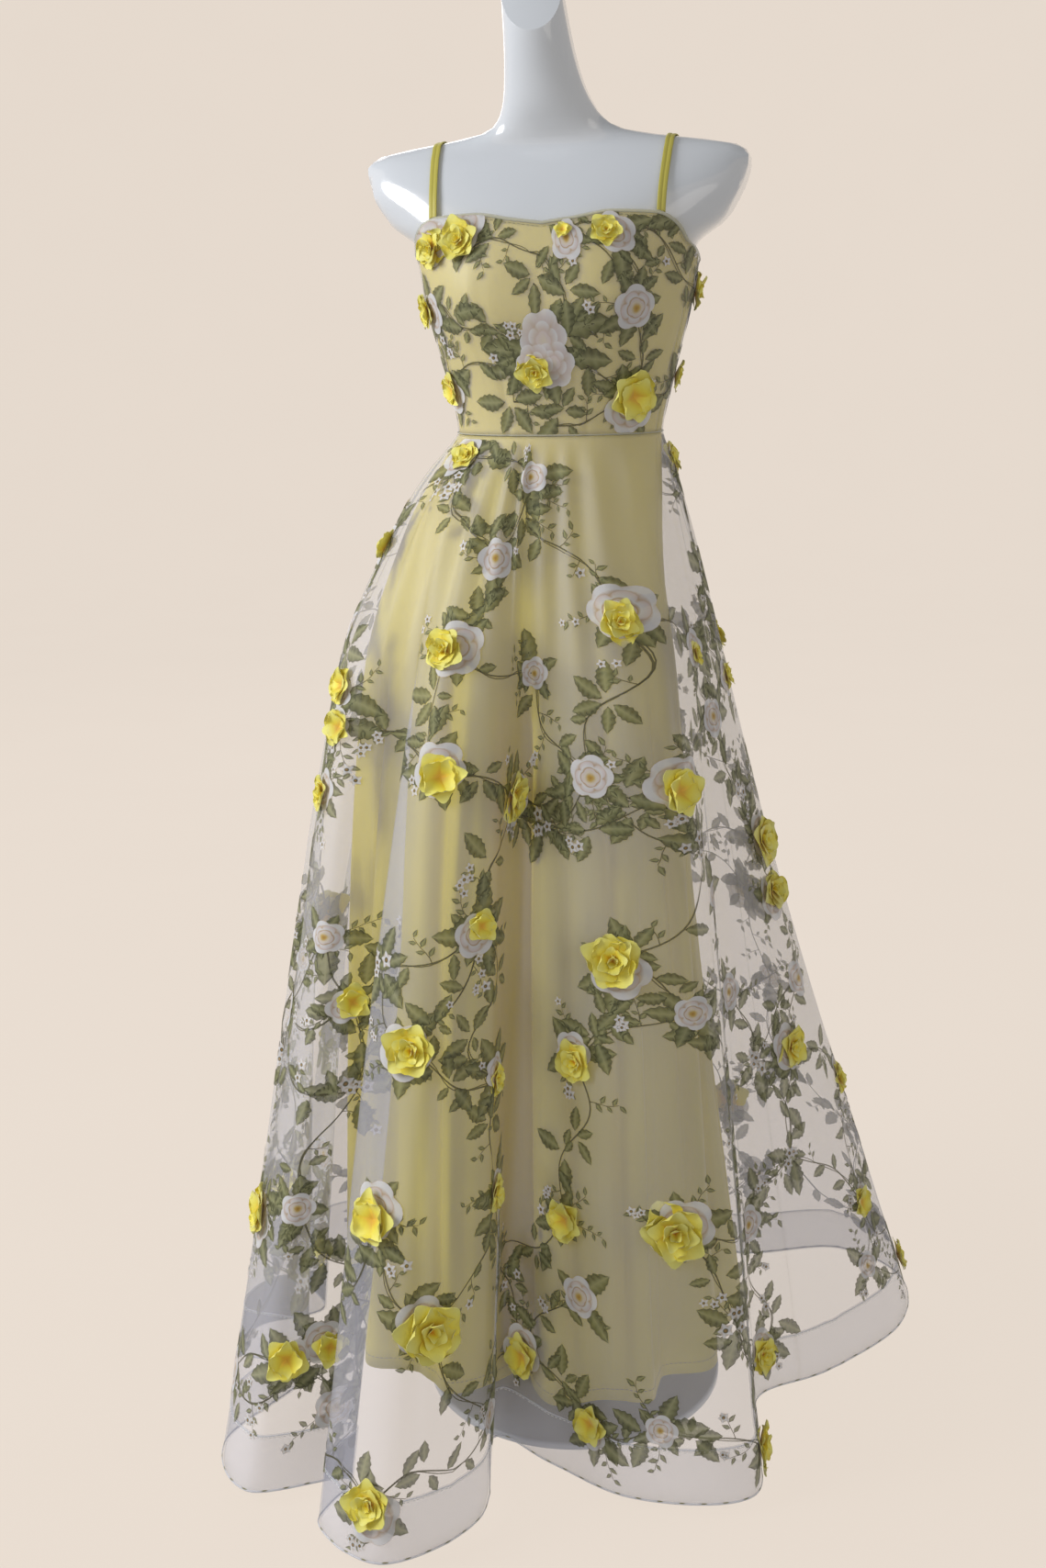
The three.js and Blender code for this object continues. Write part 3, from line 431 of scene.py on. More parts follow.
# ---------- the surfaces of form and dress
class Figure:
    """The dress form's surface."""

    cup_angle, cup_z, cup_rise, cup_spread, cup_tall = 36.0, 1226.0, 9.0, 21.0, 46.0
    arm_share, arm_from, arm_to = 0.045, 1285.0, 1330.0
    farthest, halvings = 400.0, 26

    def level(self, name: str, z: Array) -> Array:
        """One measure of the form by height."""
        return through([row.z for row in FORM], np.array([getattr(row, name) for row in FORM]), z)

    def point(self, share: Array, z: Array, out: float = 0.0) -> Array:
        """Points of the form.

        Args:
            share: Shares of the way round the form's centre.
            z: Heights.
            out: How far the form is grown.

        Returns:
            The points.
        """
        angle = 2 * np.pi * share
        sin, cos = np.sin(angle), np.cos(angle)
        width = self.level("width", z) + out
        depth = np.where(cos > 0, self.level("front", z), self.level("back", z)) + out
        power = self.level("square", z)
        total = np.abs(sin / width) ** power + np.abs(cos / depth) ** power
        turn = np.abs(np.arctan2(sin, cos))
        aside = (turn - math.radians(self.cup_angle)) / math.radians(self.cup_spread)
        up = (z - self.cup_z) / self.cup_tall
        radius = total ** (-1 / power) + self.cup_rise * np.exp(-aside * aside - up * up)
        reach = width * (1 - self.arm_share * smooth(self.arm_from, self.arm_to, z))
        x = self.level("x", z) + np.clip(radius * sin, -reach, reach)
        return np.stack([x, self.level("y", z) - radius * cos, z + 0 * radius], axis=-1)

    def fill(self, points: Array, out: float) -> Array:
        """Tells the inside of the grown form from its outside.

        Args:
            points: The points asked about.
            out: How far the form is grown.

        Returns:
            A value for each point, below 1 inside and above 1 outside.
        """
        z = np.maximum(points[..., 2], FORM_FOOT_Z)
        aside = points[..., 0] - self.level("x", z)
        behind = points[..., 1] - self.level("y", z)
        depth = np.where(behind < 0, self.level("front", z), self.level("back", z)) + out
        power = self.level("square", z)
        width = self.level("width", z) + out
        return np.abs(aside / width) ** power + np.abs(behind / depth) ** power

    def reach(self, angle: Array, z: Array, out: float) -> Array:
        """How far the grown form reaches from the axis.

        Args:
            angle: The angles asked about.
            z: Their heights.
            out: How far the form is grown.

        Returns:
            The distance at each angle and height.
        """
        low, high = np.zeros_like(angle), np.full_like(angle, self.farthest)
        for _ in range(self.halvings):
            middle = (low + high) / 2
            outside = self.fill(polar(angle, middle, z), out) > 1
            high = np.where(outside, middle, high)
            low = np.where(outside, low, middle)
        return (low + high) / 2


class Lookup:
    """A measure worked out once on a grid of angles and heights, and read between its points."""

    columns = 960

    def __init__(self, measure: Surface, low: float, high: float, rows: int) -> None:
        """Works the grid out.

        Args:
            measure: Gives the measure by angle and height.
            low: The lowest height.
            high: The highest height.
            rows: The steps from the lowest to the highest.
        """
        self.low, self.high, self.rows = low, high, rows
        angles = np.linspace(-np.pi, np.pi, self.columns + 1)
        heights = np.linspace(low, high, rows + 1)
        angle, z = np.meshgrid(angles, heights)
        self.values = measure(angle.ravel(), z.ravel()).reshape(angle.shape)

    def at(self, angle: Array, z: Array) -> Array:
        """Reads the measure between the grid's points.

        Args:
            angle: The angles asked about.
            z: Their heights. Past either end of the grid, its nearest height is taken.

        Returns:
            The measure at each angle and height.
        """
        u = (angle + np.pi) % (2 * np.pi) / (2 * np.pi) * self.columns
        v = np.clip((z - self.low) / (self.high - self.low), 0, 1) * self.rows
        i = np.minimum(u.astype(int), self.columns - 1)
        j = np.minimum(v.astype(int), self.rows - 1)
        s, t = u - i, v - j
        below = self.values[j, i] * (1 - s) + self.values[j, i + 1] * s
        above = self.values[j + 1, i] * (1 - s) + self.values[j + 1, i + 1] * s
        return below * (1 - t) + above * t


class Drape:
    """The surfaces of the two skirts."""

    gathers, gather_depth, gather_full, gather_fade, gather_end = 30, 2.4, 45.0, 90.0, 420.0
    heights = (530.0, 810.0, 970.0, WAIST_Z)
    hem_steps = 3000
    bend_fall, tightest_bend = 10.0, 0.05

    def __init__(self, figure: Figure) -> None:
        """Measures the organza's hem, so that shares of it can be turned into folds.

        Args:
            figure: The form that the skirts hang on.
        """
        inner = FORM_EASE + LINING_WALL
        self.form = Lookup(lambda angle, z: figure.reach(angle, z, inner), FORM_FOOT_Z, WAIST_Z, 90)
        self.waist = Lookup(lambda angle, z: figure.reach(angle, z, STACK), WAIST_Z, WAIST_Z + 1, 1)
        self.knots = {
            name: np.array(
                [
                    [r * math.sin(math.radians(a)), -r * math.cos(math.radians(a))]
                    for a, r in (getattr(fold, name) for fold in ORGANZA_FOLDS)
                ]
            )
            for name in ("hem", "mid", "high", "hip")
        }
        self.places = np.linspace(0, len(ORGANZA_FOLDS), self.hem_steps + 1)
        hem = self.fold_point(self.places, "hem")
        steps = np.linalg.norm(np.diff(hem, axis=0), axis=1)
        self.hem_length = np.concatenate([[0.0], np.cumsum(steps)])
        self.front_share = 0.0
        self.front_share = self.share_at(0.0)

    def fold_point(self, place: Array, level: str) -> Array:
        """Points of the smooth closed curve through the organza's folds at one level.

        Args:
            place: Places along the curve, a whole number for each fold.
            level: The level's name.

        Returns:
            The points' x and y.
        """
        count = len(ORGANZA_FOLDS)
        row = np.floor(place).astype(int)
        t = (place - row)[:, None]
        knot = self.knots[level]
        return 0.5 * (
            (-t + 2 * t**2 - t**3) * knot[(row - 1) % count]
            + (2 - 5 * t**2 + 3 * t**3) * knot[row % count]
            + (t + 4 * t**2 - 3 * t**3) * knot[(row + 1) % count]
            + (-(t**2) + t**3) * knot[(row + 2) % count]
        )

    def share_at(self, degrees: float) -> float:
        """Finds the fold that passes an angle at the hips.

        Args:
            degrees: The angle.

        Returns:
            Its share of the hem's length, from the centre front.
        """
        points = self.fold_point(self.places, "hip")
        turn = np.unwrap(np.arctan2(points[:, 0], -points[:, 1]))
        place = np.interp(degrees, np.degrees(turn), self.places)
        if degrees < np.degrees(turn[0]):
            place = np.interp(degrees + 360, np.degrees(turn), self.places) - len(ORGANZA_FOLDS)
        whole = math.floor(place / len(ORGANZA_FOLDS))
        length = np.interp(place - whole * len(ORGANZA_FOLDS), self.places, self.hem_length)
        return whole + length / self.hem_length[-1] - self.front_share

    def lining_ring(self, angle: Array, level: str) -> Array:
        """The satin folds' distance from the axis at one level.

        Args:
            angle: The angles asked about.
            level: The level's name.

        Returns:
            The distance at each angle.
        """
        first = LINING_FOLDS[0].angle
        turn = first + (np.degrees(angle) - first) % 360
        angles = np.array([fold.angle for fold in LINING_FOLDS] + [first + 360])
        radii = np.array([getattr(fold, level) for fold in (*LINING_FOLDS, LINING_FOLDS[0])], float)
        i = np.clip(np.searchsorted(angles, turn, side="right") - 1, 0, len(LINING_FOLDS) - 1)
        t = (turn - angles[i]) / (angles[i + 1] - angles[i])
        return radii[i] + (radii[i + 1] - radii[i]) * t * t * (3 - 2 * t)

    def keep_out(self, radius: Array, least: Array, z: Array) -> Array:
        """Keeps distances at or above the least ones, bending smoothly near them.

        Args:
            radius: The distances.
            least: The least distance at each place.
            z: The places' heights. The bend tightens towards the waist.

        Returns:
            The distances that are kept.
        """
        soft = np.clip((WAIST_Z - z) / self.bend_fall, self.tightest_bend, SOFTEST_BEND)
        bent = least + soft * np.exp(np.minimum((radius - least - soft) / soft, 0.0))
        return np.where(radius > least + soft, radius, bent)

    def lining_radius(self, angle: Array, z: Array) -> Array:
        """The satin skirt's distance from the axis.

        Args:
            angle: The angles asked about.
            z: Their heights.

        Returns:
            The distance at each angle and height.
        """
        rings = [self.lining_ring(angle, level) for level in ("hem", "mid", "high", "hip")]
        rings.append(self.form.at(angle, np.full_like(angle, WAIST_Z)))
        radius = through((LINING_HEM_Z, *self.heights), np.stack(rings), z)
        return self.keep_out(radius, self.form.at(angle, z), z)

    def lining(self, share: Array, z: Array) -> Array:
        """Points of the satin skirt."""
        angle = 2 * np.pi * share
        return polar(angle, self.lining_radius(angle, z), z)

    def organza(self, share: Array, z: Array) -> Array:
        """Points of the organza skirt.

        Args:
            share: Shares of the hem's length from the centre front.
            z: Heights.

        Returns:
            The points.
        """
        length = ((share + self.front_share) % 1.0) * self.hem_length[-1]
        place = np.interp(length, self.hem_length, self.places)
        levels = [self.fold_point(place, level) for level in ("hem", "mid", "high", "hip")]
        hip_angle = np.arctan2(levels[3][:, 0], -levels[3][:, 1])
        waist = self.waist.at(hip_angle, np.full_like(hip_angle, WAIST_Z))
        levels.append(polar(hip_angle, waist, 0 * waist)[:, :2])
        x, y = (through((HEM_Z, *self.heights), np.stack([p[:, k] for p in levels]), z) for k in (0, 1))
        angle = np.arctan2(x, -y)
        fall = LAYER_FALL * smooth(0, LAYER_FALL_HEIGHT, WAIST_Z - z)
        least = self.lining_radius(angle, np.maximum(z, LINING_HEM_Z)) + LAYER_GAP + OVERLAY_WALL + fall
        radius = self.keep_out(np.hypot(x, y), least, z)
        below = WAIST_Z - z
        fading = 1 - smooth(self.gather_fade, self.gather_end, below)
        gather = self.gather_depth * smooth(0, self.gather_full, below) * fading
        return polar(angle, radius + gather * (1 + np.cos(2 * np.pi * self.gathers * share)), z)


FIGURE = Figure()
DRAPE = Drape(FIGURE)
CREASE_FOOT = (60.0, 80.0)
CREASE_HEAD = 160.0


def necklines(share: Array) -> Array:
    """The height of the bodice's top edge."""
    turn = 360 * np.abs(share - np.round(share))
    return through([row[0] for row in NECKLINE], np.array([row[1] for row in NECKLINE]), turn)


@dataclass(frozen=True)
class Cloth:
    """A layer of cloth: its surface, its girth by height, and the ridges that run down it."""

    surface: Surface
    girth_heights: tuple[float, ...]
    girths: tuple[float, ...]
    creases: tuple[Crease, ...] = ()
    repeats: int = 1

    def girth(self, z: Array) -> Array:
        """The layer's girth at each height."""
        return np.interp(z, self.girth_heights, self.girths)

    def crease(self, share: Array, z: Array) -> Array:
        """How far the ridges and troughs lift the cloth.

        Args:
            share: The places' shares.
            z: The places' heights.

        Returns:
            The lift at each place.
        """
        rise = np.zeros_like(z)
        for turn in range(self.repeats):
            for row in self.creases:
                middle = row.share + turn / self.repeats + row.lean * (row.high - z) / 1e3 / self.girth(z)
                aside = (share - middle + 0.5) % 1.0 - 0.5
                away = aside * self.girth(z) / row.width
                foot = smooth(row.low - CREASE_FOOT[0], row.low + CREASE_FOOT[1], z)
                ends = foot * (1 - smooth(row.high - CREASE_HEAD, row.high, z))
                rise = rise + row.depth * ends * np.exp(-away * away)
        return rise

    def lifted(self, share: Array, z: Array, lift: Array) -> Array:
        """Places on the layer, moved outwards.

        Args:
            share: The places' shares.
            z: The places' heights.
            lift: How far out each place is moved.

        Returns:
            The points, in millimetres.
        """
        normal = normals_of(self.surface, share, z)
        rise = lift + self.crease(share, z)
        return self.surface(share, z) + normal * rise[:, None]


ORGANZA_SKIRT = Cloth(
    DRAPE.organza,
    (14, 180, 390, 564, 804, 954, 1044, 1075),
    (3118, 2761, 2324, 1945, 1377, 967, 712, 660),
    ORGANZA_CREASES,
    2,
)
SATIN_SKIRT = Cloth(DRAPE.lining, (72, 530, 810, 970, 1075), (1330, 1150, 980, 810, 620), SATIN_CREASES, 2)
BODICE = Cloth(
    FIGURE.point, (1075, 1118, 1160, 1212, 1245, 1300), (610, 650, 720, 800, 830, 880), BODICE_CREASES
)


# ---------- finishes
SHEEN_ROUGHNESS = 0.35
PETAL_WEAR = (0.6, 0.58, 0.5)


class Paint:
    """Builds one material's node tree."""

    def __init__(self, name: str) -> None:
        """Starts a material with a lone Principled shader.

        Args:
            name: The material's name.
        """
        self.material = bpy.data.materials.new(name)
        self.material.use_nodes = True
        self.tree = self.material.node_tree
        self.shader = self.tree.nodes["Principled BSDF"]

    def add(self, kind: str, **inputs: object) -> bpy.types.Node:
        """Adds a node and sets its inputs.

        Args:
            kind: The node's kind.
            **inputs: Values by the inputs' names, with _ for a space.

        Returns:
            The node.
        """
        node = self.tree.nodes.new(kind)
        for key, value in inputs.items():
            node.inputs[key.replace("_", " ")].default_value = value
        return node

    def set(self, **inputs: object) -> None:
        """Sets the shader's own sockets by name, with _ for a space."""
        for key, value in inputs.items():
            self.shader.inputs[key.replace("_", " ")].default_value = value

    def link(self, source: bpy.types.NodeSocket, target: bpy.types.NodeSocket) -> None:
        """Links two sockets."""
        self.tree.links.new(source, target)

    def place(self, scale: Sequence[float]) -> bpy.types.NodeSocket:
        """The object's own coordinates, scaled.

        Args:
            scale: The scale along each axis.

        Returns:
            The socket that gives them.
        """
        coordinates = self.add("ShaderNodeTexCoord")
        mapping = self.add("ShaderNodeMapping", Scale=tuple(scale))
        self.link(coordinates.outputs["Object"], mapping.inputs["Vector"])
        return mapping.outputs["Vector"]

    def noise(self, scale: float, detail: float, stretch: Sequence[float] = (1, 1, 1)) -> bpy.types.Node:
        """Adds a noise on the object's coordinates.

        Args:
            scale: The noise's scale.
            detail: The noise's detail.
            stretch: The coordinates' scale along each axis.

        Returns:
            The noise's node.
        """
        node = self.add("ShaderNodeTexNoise", Scale=scale, Detail=detail)
        self.link(self.place(stretch), node.inputs["Vector"])
        return node

    def ramp(self, factor: bpy.types.NodeSocket, dark: Colour, light: Colour) -> bpy.types.NodeSocket:
        """Adds a mix of two colours.

        Args:
            factor: The socket that mixes them.
            dark: The colour at 0.
            light: The colour at 1.

        Returns:
            The socket that gives the mix.
        """
        node = self.add("ShaderNodeMix")
        node.data_type = "RGBA"
        node.inputs["A"].default_value = (*dark, 1)
        node.inputs["B"].default_value = (*light, 1)
        self.link(factor, node.inputs["Factor"])
        return node.outputs["Result"]

    def clouded(self, cloud: bpy.types.Node, dark: Colour, light: Colour) -> None:
        """Gives the base colour soft clouds between two colours."""
        self.link(self.ramp(cloud.outputs["Fac"], dark, light), self.shader.inputs["Base Color"])

    def bump(self, height: bpy.types.NodeSocket, strength: float, distance: float) -> None:
        """Adds relief from a height.

        Args:
            height: The socket that gives the height.
            strength: How much of the relief shows.
            distance: The relief's depth in metres.
        """
        node = self.add("ShaderNodeBump", Strength=strength, Distance=distance)
        self.link(height, node.inputs["Height"])
        if self.shader.inputs["Normal"].is_linked:
            self.link(self.shader.inputs["Normal"].links[0].from_socket, node.inputs["Normal"])
        self.link(node.outputs["Normal"], self.shader.inputs["Normal"])

    def weave(self, pitch: float, strength: float) -> None:
        """Adds a plain weave's relief.

        Args:
            pitch: From one thread to the next, in metres.
            strength: How much of the relief shows.
        """
        threads = []
        for direction in ("X", "Z"):
            wave = self.add("ShaderNodeTexWave", Scale=0.31416 / pitch, Distortion=0.6)
            wave.bands_direction = direction
            self.link(self.place((1, 1, 1)), wave.inputs["Vector"])
            threads.append(wave.outputs["Fac"])
        node = self.add("ShaderNodeMath")
        node.operation = "MULTIPLY"
        self.link(threads[0], node.inputs[0])
        self.link(threads[1], node.inputs[1])
        self.bump(node.outputs[0], strength, pitch / 3)


@dataclass(frozen=True)
class Satin:
    """A smooth, softly shining woven satin."""

    name: str
    dark: Colour
    light: Colour
    roughness: float = 0.42
    sheen: float = 0.15
    sheen_tint: Colour = (1.0, 0.9, 0.5)
    gloss: float = 0.32
    thread_pitch: float = 0.0006

    def make(self) -> bpy.types.Material:
        """Builds the finish.

        Returns:
            Its material.
        """
        paint = Paint(self.name)
        paint.clouded(paint.noise(9.0, 3.0, (1, 1, 0.25)), self.dark, self.light)
        paint.set(Roughness=self.roughness, Sheen_Weight=self.sheen, Sheen_Roughness=SHEEN_ROUGHNESS)
        paint.set(Sheen_Tint=(*self.sheen_tint, 1), Anisotropic=0.5, Specular_IOR_Level=self.gloss)
        paint.weave(self.thread_pitch, 0.12)
        paint.bump(paint.noise(26.0, 4.0, (1, 1, 0.2)).outputs["Fac"], 0.25, 0.0012)
        return paint.material


@dataclass(frozen=True)
class Sheer:
    """A sheer crisp organza: pale, see-through and faintly glittering."""

    name: str
    dark: Colour
    light: Colour
    alpha: float
    roughness: float = 0.45
    sheen: float = 1.0
    sheen_tint: Colour = (0.93, 0.94, 1.0)
    gloss: float = 0.6
    thread_pitch: float = 0.0009

    def make(self) -> bpy.types.Material:
        """Builds the finish.

        Returns:
            Its material.
        """
        paint = Paint(self.name)
        paint.clouded(paint.noise(14.0, 4.0, (1, 1, 0.3)), self.dark, self.light)
        paint.set(Roughness=self.roughness, Alpha=self.alpha)
        paint.set(Sheen_Weight=self.sheen, Sheen_Roughness=SHEEN_ROUGHNESS)
        paint.set(Sheen_Tint=(*self.sheen_tint, 1), Specular_IOR_Level=self.gloss)
        paint.weave(self.thread_pitch, 0.2)
        paint.bump(paint.noise(60.0, 5.0, (1, 1, 0.12)).outputs["Fac"], 0.5, 0.0015)
        return paint.material


@dataclass(frozen=True)
class Tinted:
    """A matt finish that takes its colour from the piece's own tint, for petals and printed ink."""

    name: str
    roughness: float
    sheen: float
    alpha: float = 1.0
    crumple: float = 0.0

    def make(self) -> bpy.types.Material:
        """Builds the finish.

        Returns:
            Its material.
        """
        paint = Paint(self.name)
        tint = paint.add("ShaderNodeAttribute")
        tint.attribute_name = "tint"
        cloud = paint.noise(240.0, 3.0)
        shade = paint.add("ShaderNodeMix")
        shade.data_type = "RGBA"
        shade.blend_type = "MULTIPLY"
        shade.inputs["Factor"].default_value = 0.15
        paint.link(tint.outputs["Color"], shade.inputs["A"])
        paint.link(paint.ramp(cloud.outputs["Fac"], PETAL_WEAR, (1, 1, 1)), shade.inputs["B"])
        paint.link(shade.outputs["Result"], paint.shader.inputs["Base Color"])
        paint.set(Roughness=self.roughness, Sheen_Weight=self.sheen, Alpha=self.alpha)
        if self.crumple:
            paint.bump(paint.noise(180.0, 4.0).outputs["Fac"], self.crumple, 0.001)
        return paint.material


@dataclass(frozen=True)
class Gloss:
    """A lacquered hard finish with faint waviness."""

    name: str
    dark: Colour
    light: Colour
    roughness: float
    coat: float = 0.0
    metallic: float = 0.0

    def make(self) -> bpy.types.Material:
        """Builds the finish.

        Returns:
            Its material.
        """
        paint = Paint(self.name)
        paint.clouded(paint.noise(5.0, 3.0), self.dark, self.light)
        paint.set(Roughness=self.roughness, Metallic=self.metallic)
        paint.set(Coat_Weight=self.coat, Coat_Roughness=0.05)
        paint.bump(paint.noise(40.0, 2.0).outputs["Fac"], 0.05, 0.0006)
        return paint.material


class Finish(Enum):
    """The finishes of the dress and its form."""

    SATIN = Satin("pale_gold_satin", (0.71, 0.555, 0.012), (0.85, 0.71, 0.04))
    STRAP = Satin("olive_gold_satin", (0.50, 0.43, 0.06), (0.62, 0.55, 0.12), 0.45)
    ORGANZA = Sheer("sheer_organza", (0.82, 0.80, 0.91), (0.94, 0.92, 0.99), 0.18)
    FACING = Sheer("hem_band_organza", (0.80, 0.80, 0.90), (0.94, 0.94, 1.0), 0.14)
    FACING_EDGE = Sheer("rolled_edge_organza", (0.84, 0.84, 0.93), (0.97, 0.97, 1.0), 0.5)
    EDGE = Sheer("turned_edge_organza", (0.60, 0.58, 0.45), (0.80, 0.78, 0.62), 0.55)
    INK = Tinted("printed_ink", 0.7, 0.1, 0.77)
    PETAL = Tinted("petal_chiffon", 0.55, 0.5, 1.0, 0.5)
    THREAD = Tinted("sewing_thread", 0.6, 0.4)
    SHELL = Gloss("glossy_white_shell", (0.74, 0.76, 0.79), (0.80, 0.82, 0.85), 0.16, 0.8)
    STEEL = Gloss("white_lacquered_steel", (0.66, 0.67, 0.69), (0.74, 0.75, 0.77), 0.28, 0.4)
    ZIP = Gloss("gold_lacquered_zip", (0.45, 0.36, 0.08), (0.62, 0.52, 0.16), 0.32, 0.2, 0.7)

    def material(self) -> bpy.types.Material:
        """The finish's material, made once."""
        return bpy.data.materials.get(self.value.name) or self.value.make()


# ---------- making pieces
def piece(name: str, mesh: bpy.types.Mesh, finish: Finish, slot: str) -> bpy.types.Object:
    """Links a finished mesh as a piece of the dress or form.

    Args:
        name: The piece's name.
        mesh: The mesh, in metres, at its place.
        finish: What it is finished in.
        slot: A material slot's name, not used.

    Returns:
        The piece, riding on the dress's body.
    """
    made = bpy.data.objects.new(name, mesh)
    bpy.context.scene.collection.objects.link(made)
    mesh.materials.clear()
    mesh.materials.append(finish.material())
    mesh.shade_smooth()
    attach(made, DRESS)
    log.info("%s: %d faces", name, len(mesh.polygons))
    return made


def mesh_of(name: str, bm: bmesh.types.BMesh) -> bpy.types.Mesh:
    """Turns a bmesh into a mesh and frees it.

    Args:
        name: The mesh's name.
        bm: The bmesh.

    Returns:
        The mesh.
    """
    mesh = bpy.data.meshes.new(name)
    bm.to_mesh(mesh)
    bm.free()
    return mesh


def set_points(mesh: bpy.types.Mesh, points: Array) -> None:
    """Moves a mesh's vertices to points in millimetres."""
    mesh.vertices.foreach_set("co", (points * MM).astype(np.float32).ravel())
    mesh.update()


def spun(line: Sequence[tuple[float, float, float]], steps: int, weld: float) -> bmesh.types.BMesh:
    """Turns a line of points all the way round the Z axis.

    Args:
        line: The points, in order.
        steps: The sides of the turned body.
        weld: How near points lie that become one, as those on the axis do.

    Returns:
        The turned body.
    """
    bm = bmesh.new()
    ring = [bm.verts.new(point) for point in line]
    edges = [bm.edges.new(pair) for pair in zip(ring, ring[1:])]
    bmesh.ops.spin(
        bm,
        geom=ring + edges,
        axis=(0, 0, 1),
        cent=(0, 0, 0),
        angle=2 * math.pi,
        steps=steps,
        use_merge=True,
    )
    bmesh.ops.remove_doubles(bm, verts=bm.verts[:], dist=weld)
    return bm


def grid_mesh(name: str, columns: int, rows: int, put: Surface) -> bpy.types.Mesh:
    """A grid whose every point is moved onto a surface.

    Args:
        name: The mesh's name.
        columns: Faces from side to side.
        rows: Faces from bottom to top.
        put: Gives points for the parts of the way across and up.

    Returns:
        The mesh, with a UV map of the same parts.
    """
    bm = bmesh.new()
    bm.loops.layers.uv.new("UVMap")
    bmesh.ops.create_grid(bm, x_segments=columns, y_segments=rows, size=0.5, calc_uvs=True)
    mesh = mesh_of(name, bm)
    flat = np.zeros(len(mesh.vertices) * 3, np.float32)
    mesh.vertices.foreach_get("co", flat)
    flat = flat.reshape(-1, 3).astype(float)
    set_points(mesh, put(flat[:, 0] + 0.5, flat[:, 1] + 0.5))
    return mesh


def thicken(made: bpy.types.Object, wall: float) -> None:
    """Gives a sheet a wall that grows inwards.

    Args:
        made: The sheet.
        wall: The wall, in millimetres.
    """
    modifier = made.modifiers.new("wall", "SOLIDIFY")
    modifier.thickness = wall * MM
    modifier.offset = -1.0


@dataclass
class Panel:
    """A cut piece of cloth on a layer, between two shares and two edges.

    Its lower and upper edges are heights by share.
    """

    name: str
    node: str
    cloth: Cloth
    finish: Finish
    slot: str
    start: float
    end: float
    low: Callable[[Array], Array]
    high: Callable[[Array], Array]
    columns: int
    rows: int
    lift: float
    wall: float
    held: str
    rests_on: list[str]
    crowd: float = 1.0
    measured_rows: int = 9
    measured_columns: int = 60

    def put(self, across: Array, up: Array) -> Array:
        """Points of the panel.

        Args:
            across: The parts of the way across.
            up: The parts of the way up.

        Returns:
            The points, in millimetres.
        """
        share = self.start + (self.end - self.start) * across
        z = self.high(share) - (self.high(share) - self.low(share)) * (1 - up) ** self.crowd
        inset = SEAM_GAP / 2 / self.cloth.girth(z)
        share = np.clip(share, self.start + inset, self.end - inset)
        return self.cloth.lifted(share, z, np.full_like(z, self.lift))

    def flat(self) -> tuple[float, float, float]:
        """Measures the cut on the panel's own surface.

        Returns:
            Its greatest width, its length down the middle and its area, in metres.
        """
        ups = np.linspace(0, 1, self.measured_rows)
        across = np.linspace(0, 1, self.measured_columns)
        lines = [self.put(across, np.full_like(across, up)) for up in ups]
        widths = [float(np.linalg.norm(np.diff(line, axis=0), axis=1).sum()) * MM for line in lines]
        middle = self.put(np.full_like(ups, 0.5), ups)
        length = float(np.linalg.norm(np.diff(middle, axis=0), axis=1).sum()) * MM
        return max(widths), length, sum(widths) / len(widths) * length

    def build(self) -> bpy.types.Object:
        """Returns:
            The piece.
        """
        mesh = grid_mesh(self.name, self.columns, self.rows, self.put)
        made = piece(self.name, mesh, self.finish, self.slot)
        thicken(made, self.wall)
        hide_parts(self.node)
        width, length, area = self.flat()
        area = min(area, width * length)
        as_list(self.rests_on)
        return made


PANEL_NAMES = ("front", "back_left", "back_right")


@dataclass
class Stamp:
    """A small shape that is printed or sewn many times: points in millimetres, faces and a tint."""

    points: Array
    faces: list[tuple[int, ...]]
    tint: Array

    @staticmethod
    def of(bm: bmesh.types.BMesh, shade: Callable[[Array], Array]) -> Stamp:
        """Takes a bmesh as a stamp.

        Args:
            bm: The shape, in millimetres.
            shade: Gives each point's colour.

        Returns:
            The stamp.
        """
        bm.verts.index_update()
        points = np.array([vertex.co[:] for vertex in bm.verts])
        faces = [tuple(vertex.index for vertex in face.verts) for face in bm.faces]
        bm.free()
        return Stamp(points, faces, shade(points))

    def turned(self, degrees: float, scale: float = 1.0) -> Stamp:
        """Turns this stamp in its plane and scales it.

        Args:
            degrees: How far it is turned.
            scale: How much larger it becomes.

        Returns:
            A new stamp.
        """
        c, s = math.cos(math.radians(degrees)), math.sin(math.radians(degrees))
        turn = np.array([[c, s, 0], [-s, c, 0], [0, 0, 1]])
        return Stamp(self.points @ turn * scale, self.faces, self.tint)


@dataclass
class Sheaf:
    """Many stamps joined into one mesh."""

    points: list[Array] = field(default_factory=list)
    faces: list[tuple[int, ...]] = field(default_factory=list)
    tints: list[Array] = field(default_factory=list)
    count: int = 0

    def add(self, points: Array, faces: list[tuple[int, ...]], tint: Array) -> None:
        """Adds one stamp.

        Args:
            points: Its points.
            faces: Its faces.
            tint: Its points' colours.
        """
        self.points.append(points)
        self.tints.append(tint)
        self.faces.extend(tuple(i + self.count for i in face) for face in faces)
        self.count += len(points)

    def mesh(self, name: str, put: Callable[[Array], Array] | None = None) -> bpy.types.Mesh:
        """Joins the stamps.

        Args:
            name: The mesh's name.
            put: Turns the gathered points into places in millimetres, where they aren't that already.

        Returns:
            The mesh, with the tint as a colour attribute.
        """
        points = np.vstack(self.points)
        if put:
            points = put(points)
        mesh = bpy.data.meshes.new(name)
        mesh.from_pydata((points * MM).tolist(), [], self.faces)
        layer = mesh.color_attributes.new("tint", "FLOAT_COLOR", "POINT")
        tint = np.hstack([np.vstack(self.tints), np.ones((self.count, 1))])
        layer.data.foreach_set("color", tint.astype(np.float32).ravel())
        return mesh


